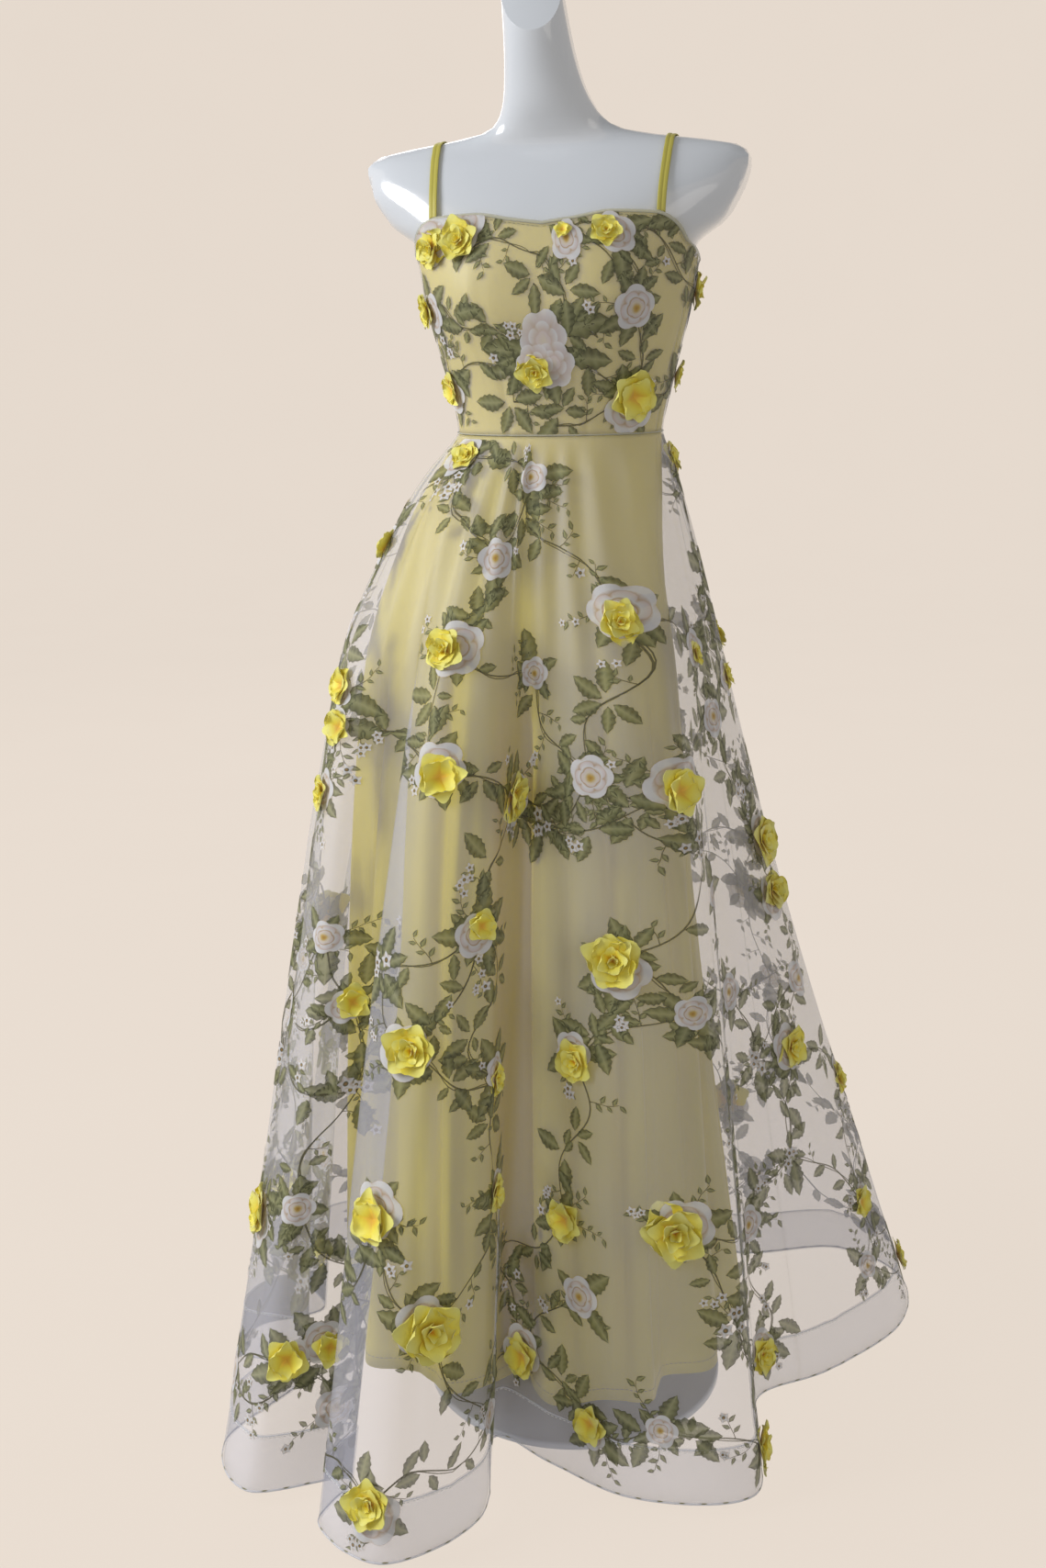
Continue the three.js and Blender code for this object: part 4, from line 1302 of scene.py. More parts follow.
# ---------- the form
@dataclass
class DressForm:
    """The limbless figure, its pole and its round foot."""

    around: int = 120
    rows: int = 130
    top: float = 1604.0
    neck_low: tuple[float, float] = (-82.0, 1488.0)
    neck_high: tuple[float, float] = (-30.0, 1598.0)
    neck_bevel: float = 1.2
    pole_radius: float = 12.5
    base_radius: float = 165.0
    base_thick: float = 8.0
    collar_radius: float = 20.0
    collar_top: float = 38.0
    pole_top: float = 830.0

    def build(self) -> None:
        """Makes the torso, the pole and the foot."""
        self.torso()
        self.pole()
        self.base()

    def put(self, across: Array, up: Array) -> Array:
        """Points of the torso's skin."""
        return FIGURE.point(across, FORM_FOOT_Z + (self.top - FORM_FOOT_Z) * up, -FORM_SKIN)

    def torso(self) -> None:
        """A closed shell: a grid bent into a tube, cut at the neck and filled at both ends."""
        mesh = grid_mesh("torso", self.around, self.rows, self.put)
        bm = bmesh.new()
        bm.from_mesh(mesh)
        bmesh.ops.remove_doubles(bm, verts=bm.verts[:], dist=WELD)
        (low_y, low_z), (high_y, high_z) = self.neck_low, self.neck_high
        slope = math.atan2(high_z - low_z, high_y - low_y)
        normal = Vector((0, -math.sin(slope), math.cos(slope)))
        everything = bm.verts[:] + bm.edges[:] + bm.faces[:]
        at = Vector((0, low_y, low_z)) * MM
        bmesh.ops.bisect_plane(bm, geom=everything, plane_co=at, plane_no=normal, clear_outer=True)
        rim = [edge for edge in bm.edges if edge.is_boundary]
        bmesh.ops.holes_fill(bm, edges=rim, sides=0)
        cut = [edge for edge in rim if edge.is_valid and edge.calc_face_angle(0) > 0.5]
        bmesh.ops.bevel(
            bm,
            geom=cut,
            offset=self.neck_bevel * MM,
            segments=3,
            affect="EDGES",
            profile=0.5,
            material=-1,
            clamp_overlap=True,
        )
        bmesh.ops.recalc_face_normals(bm, faces=bm.faces[:])
        bm.to_mesh(mesh)
        bm.free()
        made = piece("torso", mesh, Finish.SHELL, "gloss_white")
        mesh.set_sharp_from_angle(angle=math.radians(40))
        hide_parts("form_torso")

    def lathe(self, name: str, profile: Sequence[tuple[float, float]], steps: int) -> bpy.types.Mesh:
        """Makes a closed body that is turned on the axis.

        Args:
            name: The mesh's name.
            profile: Distances and heights, which start and end on the axis.
            steps: The sides of the body.

        Returns:
            The mesh.
        """
        bm = spun([(radius * MM, 0, z * MM) for radius, z in profile], steps, WELD)
        bmesh.ops.recalc_face_normals(bm, faces=bm.faces[:])
        return mesh_of(name, bm)

    def pole(self) -> None:
        """The pole, from the foot's plate into the torso."""
        foot, edge = self.base_thick + SEAM_GAP, self.pole_radius
        profile = [(0, foot), (edge - 0.6, foot), (edge, foot + 0.6)]
        profile += [(edge, self.pole_top - 0.6), (edge - 0.6, self.pole_top), (0, self.pole_top)]
        made = piece("pole", self.lathe("pole", profile, 48), Finish.STEEL, "lacquered_steel")
        made.data.set_sharp_from_angle(angle=math.radians(40))
        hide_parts("form_pole")

    def base(self) -> None:
        """The round foot, with its rounded rim and collar."""
        rim = [
            (self.base_radius - 3 + 3 * math.sin(turn), self.base_thick - 3 + 3 * math.cos(turn))
            for turn in np.linspace(math.pi / 2, 0, 5)
        ]
        bore = self.pole_radius + SEAM_GAP
        profile = [(0, 0), (self.base_radius - 0.8, 0), (self.base_radius, 0.8), *rim]
        profile += [(self.collar_radius + 2, self.base_thick), (self.collar_radius, self.base_thick + 2)]
        profile += [(self.collar_radius, self.collar_top - 1.5), (self.collar_radius - 1.5, self.collar_top)]
        profile += [(bore, self.collar_top), (bore, self.base_thick), (0, self.base_thick)]
        made = piece("base", self.lathe("base", profile, 128), Finish.STEEL, "lacquered_steel")
        made.data.set_sharp_from_angle(angle=math.radians(50))
        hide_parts("form_base")


# ---------- the cloth layers
def flat_edge(height: float) -> Callable[[Array], Array]:
    """A level edge at a height."""
    return lambda share: np.full_like(share, height)


@dataclass
class DressBody:
    """The bodice and the two skirts, each of a front panel and two back panels."""

    skirt_columns: int = 500
    skirt_rows: int = 62
    lining_columns: int = 330
    lining_rows: int = 56
    bodice_columns: int = 180
    bodice_rows: int = 30
    crowd: float = 1.35
    sheet_wall: float = 0.5

    def seams(self, skirt: bool) -> list[float]:
        """The shares of the side and back seams, and of the first one again.

        Args:
            skirt: Whether they are the organza skirt's, whose shares are of its hem's length.

        Returns:
            The shares, rising.
        """
        if not skirt:
            return [-SIDE_SEAM / 360, SIDE_SEAM / 360, 0.5, 1 - SIDE_SEAM / 360]
        cuts = [DRAPE.share_at(angle) for angle in (-SIDE_SEAM, SIDE_SEAM, 180.0)]
        return [*cuts, cuts[0] + 1]

    def build(self) -> None:
        """Makes every panel."""
        waist_low, waist_high = WAIST_Z - WAIST_GAP / 2, WAIST_Z + WAIST_GAP / 2
        round_seams, organza_seams = self.seams(False), self.seams(True)
        for k, side in enumerate(PANEL_NAMES):
            shared = {"start": round_seams[k], "end": round_seams[k + 1]}
            part = round_seams[k + 1] - round_seams[k]
            bodice = {
                **shared,
                "cloth": BODICE,
                "low": flat_edge(waist_high),
                "high": necklines,
                "columns": round(self.bodice_columns * part),
                "rows": self.bodice_rows,
                "held": "stretched",
            }
            Panel(
                name=f"bodice_satin_{side}",
                node=f"bodice_lining_{side}",
                finish=Finish.SATIN,
                slot="satin",
                lift=FORM_EASE + LINING_WALL,
                wall=LINING_WALL,
                rests_on=["torso"],
                **bodice,
            ).build()
            Panel(
                name=f"bodice_organza_{side}",
                node=f"bodice_overlay_{side}",
                finish=Finish.ORGANZA,
                slot="organza",
                lift=STACK,
                wall=self.sheet_wall,
                rests_on=[f"bodice_satin_{side}"],
                **bodice,
            ).build()
            Panel(
                name=f"skirt_satin_{side}",
                node=f"skirt_lining_{side}",
                cloth=SATIN_SKIRT,
                finish=Finish.SATIN,
                slot="satin",
                low=flat_edge(LINING_HEM_Z),
                high=flat_edge(waist_low),
                columns=round(self.lining_columns * part),
                rows=self.lining_rows,
                lift=0.0,
                wall=LINING_WALL,
                crowd=self.crowd,
                held="hung",
                rests_on=["torso"],
                **shared,
            ).build()
            part = organza_seams[k + 1] - organza_seams[k]
            organza = {
                "cloth": ORGANZA_SKIRT,
                "slot": "organza",
                "start": organza_seams[k],
                "end": organza_seams[k + 1],
                "columns": round(self.skirt_columns * part),
                "wall": self.sheet_wall,
            }
            Panel(
                name=f"skirt_organza_{side}",
                node=f"skirt_overlay_{side}",
                finish=Finish.ORGANZA,
                low=flat_edge(HEM_Z),
                high=flat_edge(waist_low),
                rows=self.skirt_rows,
                lift=0.0,
                crowd=self.crowd,
                held="gathered",
                rests_on=[f"skirt_satin_{side}"],
                **organza,
            ).build()
            Panel(
                name=f"hem_band_{side}",
                node=f"hem_facing_{side}",
                finish=Finish.FACING,
                low=flat_edge(HEM_Z),
                high=flat_edge(FACING_TOP_Z),
                rows=6,
                lift=-OVERLAY_WALL - LAYER_GAP,
                held="hung",
                rests_on=[f"skirt_organza_{side}"],
                **organza,
            ).build()


@dataclass
class Straps:
    """Two thin satin shoulder straps with a soft crease along the middle."""

    width: float = 9.0
    thick: float = 1.6
    front_x: float = 119.0
    top_x: float = 125.0
    back_x: float = 104.0
    top_lift: float = 0.9
    end_lift: float = 2.6
    centre_y: float = 4.0
    centre_z: float = 1304.0
    end_part: float = 0.2
    wall: float = 1.1
    turns: tuple[float, float, float] = (-40.0, 90.0, 180.0)
    crease_depth: float = 0.45
    crease_width: float = 0.09
    edge_drop: float = 0.35
    columns: int = 14
    rows: int = 90
    farthest: float = 200.0
    halvings: int = 30

    def along(self, side: int, beta: Array) -> Array:
        """The line on the form's skin that a strap follows.

        Args:
            side: 1 for the wearer's left and -1 for the right.
            beta: The turns from the back, over the shoulder, to the front.

        Returns:
            A point for each turn.
        """
        offsets = np.array([self.back_x, self.top_x, self.front_x])
        aside = side * through(self.turns, offsets, np.degrees(beta))
        low, high = np.zeros_like(beta), np.full_like(beta, self.farthest)
        for _ in range(self.halvings):
            middle = (low + high) / 2
            outside = FIGURE.fill(self.at(aside, beta, middle), 0.0) > 1
            high = np.where(outside, middle, high)
            low = np.where(outside, low, middle)
        return self.at(aside, beta, low)

    def at(self, aside: Array, beta: Array, reach: Array) -> Array:
        """Points at a distance from the shoulder's centre."""
        y = self.centre_y + reach * np.cos(beta)
        return np.stack([aside, y, self.centre_z + reach * np.sin(beta)], axis=-1)

    def skin(self, points: Array) -> Array:
        """The form's outward directions at points of its skin.

        Args:
            points: The points.

        Returns:
            One unit vector for each point.
        """
        slopes = [
            FIGURE.fill(points + step, 0.0) - FIGURE.fill(points - step, 0.0) for step in 0.5 * np.eye(3)
        ]
        slope = np.stack(slopes, axis=-1)
        return slope / np.linalg.norm(slope, axis=-1, keepdims=True)

    def ends(self, side: int) -> tuple[float, float]:
        """Finds where a strap meets the bodice's top edge.

        Args:
            side: 1 for the wearer's left and -1 for the right.

        Returns:
            The turns at its back end and at its front end.
        """
        beta = np.linspace(-0.9, 4.0, 4000)
        line = self.along(side, beta)
        line = line + self.skin(line) * self.end_lift
        clear = line[:, 2] > necklines(np.arctan2(line[:, 0], -line[:, 1]) / (2 * np.pi)) + SEAM_GAP
        inside = np.flatnonzero(clear)
        return float(beta[inside[0]]), float(beta[inside[-1]])

    def build(self) -> None:
        """Makes both straps."""
        for side, word in ((1, "left"), (-1, "right")):
            back, front = self.ends(side)

            def put(
                across: Array, up: Array, side: int = side, back: float = back, front: float = front
            ) -> Array:
                """Points of one strap's outer face.

                Args:
                    across: The parts of the way across.
                    up: The parts of the way from the back to the front.
                    side: 1 for the wearer's left and -1 for the right.
                    back: The turn at the strap's back end.
                    front: The turn at its front end.

                Returns:
                    The points.
                """
                beta = back + (front - back) * up
                line = self.along(side, beta)
                tangent = self.along(side, beta + 0.01) - self.along(side, beta - 0.01)
                tangent /= np.linalg.norm(tangent, axis=-1, keepdims=True)
                normal = self.skin(line)
                sideways = np.cross(tangent, normal)
                end = 1 - smooth(0, self.end_part, np.minimum(up, 1 - up))
                rise = self.top_lift + (self.end_lift - self.top_lift) * end + self.thick
                crease = self.crease_depth * np.exp(-(((across - 0.5) / self.crease_width) ** 2))
                crease = crease + self.edge_drop * (2 * across - 1) ** 8
                offset = (across - 0.5) * self.width
                return line + sideways * offset[:, None] + normal * (rise - crease)[:, None]

            mesh = grid_mesh(f"strap_{word}", self.columns, self.rows, put)
            made = piece(f"strap_{word}_satin", mesh, Finish.STRAP, "strap_satin")
            thicken(made, self.wall)
            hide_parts(f"strap_{word}")
            ups = np.linspace(0, 1, self.rows + 1)
            middle = put(np.full_like(ups, 0.5), ups)


# ---------- blooms
def strewn_blooms(
    cloth: Cloth, start: float, end: float, rule: Strewn, k: int, taken: Sequence[Bloom]
) -> list[Bloom]:
    """Blooms spread evenly over a back panel, clear of its seams and of the listed blooms.

    Args:
        cloth: The layer.
        start: The panel's first share.
        end: The panel's last share.
        rule: How they are spread.
        k: The panel's number.
        taken: The listed blooms.

    Returns:
        The blooms.
    """
    found = []
    for n in range(rule.count):
        radius = 18.0 + 3 * ((n * 5 + k) % 4)
        z = rule.low + (rule.high - rule.low) * ((n + 0.5) / rule.count) ** rule.spread
        middle, step = (start + end) / 2, 1e-2
        line = cloth.surface(np.array([middle - step, middle + step]), np.array([z, z]))
        speed = float(np.linalg.norm(line[1] - line[0])) / (2 * step)
        margin = (radius + 6) / speed
        part = (0.618 * n + 0.37 * k) % 1.0
        around = start + margin + (end - start - 2 * margin) * part
        clear = all(
            abs(row.around - around) * speed > row.radius + radius or abs(row.z - z) > row.radius + radius
            for row in taken
        )
        if clear:
            found.append(Bloom(around, z, radius))
    return found


@dataclass
class Blooms:
    """Layered chiffon flowers that are sewn to the organza."""

    kinds: int = 6
    petal_wall: float = 0.016
    seat: float = 1.2
    root: Colour = (0.85, 0.46, 0.004)
    middle: Colour = (0.97, 0.82, 0.03)
    tip: Colour = (0.98, 0.93, 0.24)
    layers: tuple[tuple[int, float, float, float], ...] = (
        (5, 1.12, 7.0, 0.0),
        (4, 0.88, 20.0, 36.0),
        (4, 0.62, 36.0, 12.0),
        (3, 0.38, 56.0, 50.0),
    )

    def petal(self, dice: random.Random, length: float) -> tuple[Array, list[tuple[int, ...]], Array]:
        """One broad ruffled petal that lies along +X.

        Args:
            dice: The source of its unevenness.
            length: Its length.

        Returns:
            Its points, faces and tint, as a thin closed shell.
        """
        bm = bmesh.new()
        bmesh.ops.create_grid(bm, x_segments=6, y_segments=6, size=0.5)
        phase, ruffle, curl = dice.uniform(0, 6.28), dice.uniform(0.03, 0.08), dice.uniform(0.02, 0.22)
        notch = dice.choice((-0.10, -0.03, 0.04, 0.08))
        for vertex in bm.verts:
            v, u = vertex.co.x + 0.5, 2 * vertex.co.y
            half = 0.56 * math.sin(math.pi * (0.05 + 0.78 * v)) ** 0.8
            x = v * (1 - 0.30 * abs(u) ** 2.2 * v) + notch * (1 - abs(u)) * v**5
            z = 0.10 * v * v + 0.16 * u * u * v - curl * v**3 + ruffle * math.sin(3.2 * u + phase) * v * v
            vertex.co = Vector((x, u * half, z)) * length
        faces = bm.faces[:]
        bmesh.ops.solidify(bm, geom=faces, thickness=self.petal_wall)
        bm.verts.index_update()
        points = np.array([vertex.co[:] for vertex in bm.verts])
        shape = [tuple(vertex.index for vertex in face.verts) for face in bm.faces]
        bm.free()
        part = np.clip(points[:, 0] / length, 0, 1)
        stops = np.array([self.root, self.root, self.middle, self.tip])
        tint = np.stack([np.interp(part, (0, 0.12, 0.42, 1), stops[:, k]) for k in range(3)], axis=1)
        return points, shape, tint

    def flower(self, seed: int) -> Stamp:
        """One flower of radius 1, facing +Z.

        Args:
            seed: Sets its unevenness.

        Returns:
            The flower.
        """
        dice = random.Random(seed)
        sheaf = Sheaf()
        for count, length, tilt, turn in self.layers:
            if length < 0.7 and seed % 3 == 2:
                continue
            for k in range(count):
                points, faces, tint = self.petal(dice, length * dice.uniform(0.88, 1.08))
                lean = Matrix.Rotation(-math.radians(tilt + dice.uniform(-12, 12)), 3, "Y")
                spin = Matrix.Rotation(math.radians(turn + 360 * k / count + dice.uniform(-14, 14)), 3, "Z")
                sheaf.add(points @ np.array(spin @ lean).T, faces, tint * dice.uniform(0.88, 1.06))
        return Stamp(np.vstack(sheaf.points), sheaf.faces, np.vstack(sheaf.tints))

    def build(self, name: str, cloth: Cloth, rows: Sequence[Bloom], lift: float) -> bpy.types.Object:
        """Sews one flower at each row.

        Args:
            name: The piece's name.
            cloth: The layer they are on.
            rows: Where they are.
            lift: The layer's lift.

        Returns:
            The piece.
        """
        flowers = [self.flower(40 + k) for k in range(self.kinds)]
        dice = random.Random(name)
        sheaf = Sheaf()
        share = np.array([row.around for row in rows])
        z = np.array([row.z for row in rows])
        at = cloth.lifted(share, z, np.full_like(z, lift + self.seat))
        normal = normals_of(cloth.surface, share, z)
        for k, row in enumerate(rows):
            flower = flowers[dice.randrange(self.kinds)].turned(dice.uniform(0, 360), row.radius)
            out = Vector(normal[k]).normalized()
            across = Vector((0, 0, 1)).cross(out).normalized()
            basis = np.array([across[:], out.cross(across)[:], out[:]])
            sheaf.add(at[k] + flower.points @ basis, flower.faces, flower.tint * dice.uniform(0.9, 1.05))
        made = piece(name, sheaf.mesh(name), Finish.PETAL, "organza")
        made.data.set_sharp_from_angle(angle=math.radians(45))
        return made


# ---------- the print
OLIVE_DARK = np.array((0.075, 0.08, 0.022))
OLIVE_MID = np.array((0.17, 0.175, 0.055))
OLIVE_PALE = np.array((0.33, 0.33, 0.15))
STEM = np.array((0.095, 0.085, 0.03))
BLUSH = np.array((0.82, 0.70, 0.68))
CREAM = np.array((0.84, 0.74, 0.60))
WHITE = np.array((0.88, 0.86, 0.87))
RUST = np.array((0.50, 0.24, 0.04))
TAN = np.array((0.56, 0.36, 0.17))
GOLD = np.array((0.68, 0.44, 0.08))


@dataclass(frozen=True)
class PetalRing:
    """One ring of a printed flower: its reach, how deep and how many its scallops are, and its colour."""

    reach: float
    depth: float
    lobes: int
    turn: float
    colour: Array


BODICE_SPRAY = ((0.002, 1176, 1.15), (0.018, 1152, 1.0), (-0.014, 1150, 0.9))
BODICE_VINES = (
    ((-0.118, 1262), (-0.018, 1262)),
    ((-0.018, 1262), (0.034, 1228)),
    ((0.034, 1228), (0.086, 1178)),
    ((-0.15, 1214), (-0.075, 1186)),
    ((-0.075, 1186), (-0.062, 1112)),
    ((-0.062, 1112), (0.02, 1086)),
    ((0.02, 1086), (0.13, 1108)),
)
BODICE_TUFTS = ((-0.076, 1190), (0.036, 1224), (0.03, 1102), (-0.07, 1112), (-0.012, 1240))
ROSE_RINGS = table(
    PetalRing,
    (0.0, 0.0, 3, 0.0, RUST),
    (0.13, 0.3, 3, 0.3, GOLD),
    (0.26, 0.1, 3, 0.9, CREAM),
    (0.40, 0.24, 4, 1.1, BLUSH),
    (0.43, 0.24, 4, 1.1, TAN),
    (0.49, 0.1, 5, 0.4, WHITE),
    (0.68, 0.22, 5, 0.4, BLUSH),
    (0.715, 0.22, 5, 0.4, TAN * 0.5 + BLUSH * 0.5),
    (0.77, 0.1, 5, 1.7, WHITE),
    (0.98, 0.26, 5, 1.7, WHITE),
    (1.0, 0.26, 5, 1.7, TAN * 0.4 + BLUSH * 0.6),
)
PALE_ROSE_RINGS = table(
    PetalRing,
    (0.0, 0.0, 3, 0.0, CREAM),
    (0.30, 0.25, 4, 0.8, BLUSH),
    (0.34, 0.2, 4, 0.8, TAN * 0.3 + BLUSH * 0.7),
    (0.60, 0.24, 5, 0.4, WHITE),
    (0.64, 0.24, 5, 0.4, BLUSH * 0.9),
    (1.0, 0.26, 6, 1.2, WHITE),
)
BLOSSOM_RINGS = table(
    PetalRing,
    (0.0, 0.0, 5, 0.0, RUST),
    (0.26, 0.0, 5, 0.0, OLIVE_DARK),
    (0.36, 0.0, 5, 0.0, WHITE),
    (1.0, 0.34, 5, 0.0, WHITE),
)


class Motif:
    """The printed shapes, made once and stamped many times."""

    @staticmethod
    def leaf(length: float, width: float, rows: int) -> Stamp:
        """A toothed leaf along +Y, with a pale midrib, side veins and one darker half.

        Args:
            length: The leaf's length.
            width: The leaf's width.
            rows: The steps along it.

        Returns:
            The leaf.
        """
        bm = bmesh.new()
        bmesh.ops.create_grid(bm, x_segments=4, y_segments=rows, size=0.5)
        parts = {}
        for vertex in bm.verts:
            u, v = 2 * vertex.co.x, vertex.co.y + 0.5
            half = width / 2 * math.sin(math.pi * v**0.85) ** 0.85
            odd = round(v * rows) % 2
            tooth = 1.12 if odd else 0.90
            bend = 0.10 * length * v * v
            rise = 0.16 * width * abs(u) * (1 - v)
            reach = u * half * (tooth if abs(u) > 0.9 else 1.0)
            vertex.co = Vector((reach + bend, v * length + rise, 0))
            parts[vertex.index] = (u, odd)
        bm.verts.index_update()
        order = np.array([parts[k] for k in range(len(bm.verts))])

        def shade(points: Array) -> Array:
            """Gives a midrib, veins, a light half and a dark half with a fine outline.

            Args:
                points: The leaf's points, not used, as the colours go by the points' order.

            Returns:
                Their colours.
            """
            u, odd = order[:, :1], order[:, 1:]
            half = np.where(u > 0, OLIVE_MID, OLIVE_DARK)
            half = half + (OLIVE_PALE - half) * 0.4 * (odd > 0) * (np.abs(u) < 0.8)
            half = np.where(np.abs(u) > 0.9, OLIVE_DARK, half)
            return np.where(np.abs(u) < 0.1, OLIVE_PALE, half)

        return Stamp.of(bm, shade)

    @staticmethod
    def flower(radius: float, rings: Sequence[PetalRing], steps: int) -> Stamp:
        """A printed flower of scalloped rings around its heart.

        Args:
            radius: The flower's radius.
            rings: Its rings, from the heart out.
            steps: The sides of each ring.

        Returns:
            The flower.
        """
        bm = spun([(ring.reach * radius, 0, 0) for ring in rings], steps, 1e-4 * radius)
        reaches = np.array([ring.reach for ring in rings])
        found = []
        for vertex in bm.verts:
            k = int(np.argmin(np.abs(reaches - vertex.co.length / radius)))
            turn = math.atan2(vertex.co.y, vertex.co.x)
            scallop = abs(math.sin(rings[k].lobes * turn / 2 + rings[k].turn)) ** 0.5
            uneven = 1 + 0.07 * math.sin(turn + 1) * (reaches[k] > 0.3)
            vertex.co *= (1 - rings[k].depth * (1 - scallop)) * uneven
            fold = 0.75 * (1 - scallop) ** 1.5 if reaches[k] > 0.45 and rings[k].depth > 0.2 else 0.0
            found.append(rings[k].colour * (1 - fold) + TAN * fold)
        for face in bm.faces:
            if face.normal.z < 0:
                face.normal_flip()
        return Stamp.of(bm, lambda points: np.array(found))


@dataclass
class Print:
    """Vines, leaves, roses and small blossoms printed on a layer of organza."""

    cloth: Cloth
    lift: float
    low: float
    high: Callable[[Array], Array]
    seed: int
    parts: tuple[str, ...] = ("",)
    leaf_pick: float = 0.42
    tuft_pick: float = 0.68
    sprig_pick: float = 0.92
    shoot_step: float = 6.0

    def __post_init__(self) -> None:
        """Makes the motifs and a sheaf for each part of the way round."""
        self.sheaves = [Sheaf() for _ in self.parts]
        self.dice = random.Random(self.seed)
        sizes = ((34, 16, 11), (27, 12, 9), (20, 10, 7), (11, 5, 3))
        self.leaves = [Motif.leaf(length, width, rows) for length, width, rows in sizes]
        self.roses = [Motif.flower(radius, ROSE_RINGS, 40) for radius in (28, 22, 17)]
        self.pale_rose = Motif.flower(26, PALE_ROSE_RINGS, 35)
        self.blossom = Motif.flower(5.4, BLOSSOM_RINGS, 10)

    def inside(self, around: float, z: float) -> bool:
        """Whether a place is on the cloth."""
        return self.low < z < float(self.high(np.array([around]))[0])

    def sheaf(self, around: float) -> Sheaf:
        """The sheaf of the part of the way round that a share is in."""
        return self.sheaves[int(around % 1.0 * len(self.parts)) % len(self.parts)]

    def stamp(
        self, motif: Stamp, around: float, z: float, degrees: float, scale: float = 1.0, over: float = 0.0
    ) -> None:
        """Prints a motif at a place.

        Args:
            motif: The motif.
            around: The place's share.
            z: The place's height.
            degrees: How far it is turned from pointing up.
            scale: How much larger it becomes.
            over: How far it lies over the other inks.
        """
        if not self.inside(around, z):
            return
        turned = motif.turned(degrees, scale)
        x, y, lift = turned.points.T
        lift = lift + over + self.dice.uniform(0.05, 0.12)
        height = np.maximum(z + y, self.low - 1)
        share = around + x / self.cloth.girth(height)
        height = np.minimum(height, self.high(share))
        self.sheaf(around).add(np.stack([share, height, lift], axis=1), turned.faces, turned.tint)

    def stem(self, path: list[tuple[float, float]], width: float) -> None:
        """Prints a line.

        Args:
            path: The shares and heights along it.
            width: Its width where it starts.
        """
        if len(path) < 2:
            return
        share, z = np.array(path).T
        girth = self.cloth.girth(z)
        x = share * girth.mean()
        tangent = np.stack([np.gradient(x), np.gradient(z)], axis=1)
        tangent /= np.maximum(np.linalg.norm(tangent, axis=1, keepdims=True), 1e-9)
        taper = width / 2 * np.linspace(1.0, 0.6, len(path))
        left = np.stack([share - tangent[:, 1] * taper / girth, z + tangent[:, 0] * taper, 0 * z], axis=1)
        right = np.stack([share + tangent[:, 1] * taper / girth, z - tangent[:, 0] * taper, 0 * z], axis=1)
        count = len(path)
        faces = [(count + i, count + i + 1, i + 1, i) for i in range(count - 1)]
        points = np.vstack([left, right])
        points[:, 1] = np.clip(points[:, 1], self.low, None)
        self.sheaf(path[0][0]).add(points, faces, np.tile(STEM, (2 * count, 1)))

    def sprig(self, around: float, z: float, degrees: float, length: float) -> None:
        """Prints a fine side shoot with small leaves, and here and there blossoms at its end.

        Args:
            around: The share that it starts at.
            z: The height that it starts at.
            degrees: Its heading, from level.
            length: Its length.
        """
        path, heading = [(around, z)], degrees
        for _ in range(int(length / self.shoot_step)):
            heading += self.dice.uniform(-16, 16)
            around += self.shoot_step * math.cos(math.radians(heading)) / float(self.cloth.girth(z))
            z += self.shoot_step * math.sin(math.radians(heading))
            path.append((around, z))
        if not all(self.inside(*place) for place in path):
            return
        self.stem(path, 0.9)
        for k, (s, h) in enumerate(path[1:]):
            side = 55 if k % 2 else -55
            self.stamp(self.leaves[3], s, h, heading - 90 + side, self.dice.uniform(0.7, 1.1))
        if self.dice.random() < 0.45:
            for _ in range(self.dice.randint(1, 3)):
                s = around + self.dice.uniform(-9, 9) / float(self.cloth.girth(z))
                self.stamp(self.blossom, s, z + self.dice.uniform(-9, 9), 0, self.dice.uniform(0.8, 1.2), 0.5)

    def tuft(self, around: float, z: float, count: int, spread: float, size: float = 1.0) -> None:
        """Prints a cluster of leaves that fan out from a place.

        Args:
            around: The place's share.
            z: The place's height.
            count: How many leaves there are.
            spread: The angle that they fan over.
            size: How much larger they become.
        """
        first = self.dice.uniform(0, 360)
        for k in range(count):
            turn = first + spread * k / count + self.dice.uniform(-14, 14)
            motif = self.leaves[self.dice.choice((0, 0, 1, 2))]
            reach = self.dice.uniform(2, 8)
            s = around - reach * math.sin(math.radians(turn)) / float(self.cloth.girth(z))
            h = z + reach * math.cos(math.radians(turn))
            self.stamp(motif, s, h, turn, size * self.dice.uniform(0.8, 1.15))

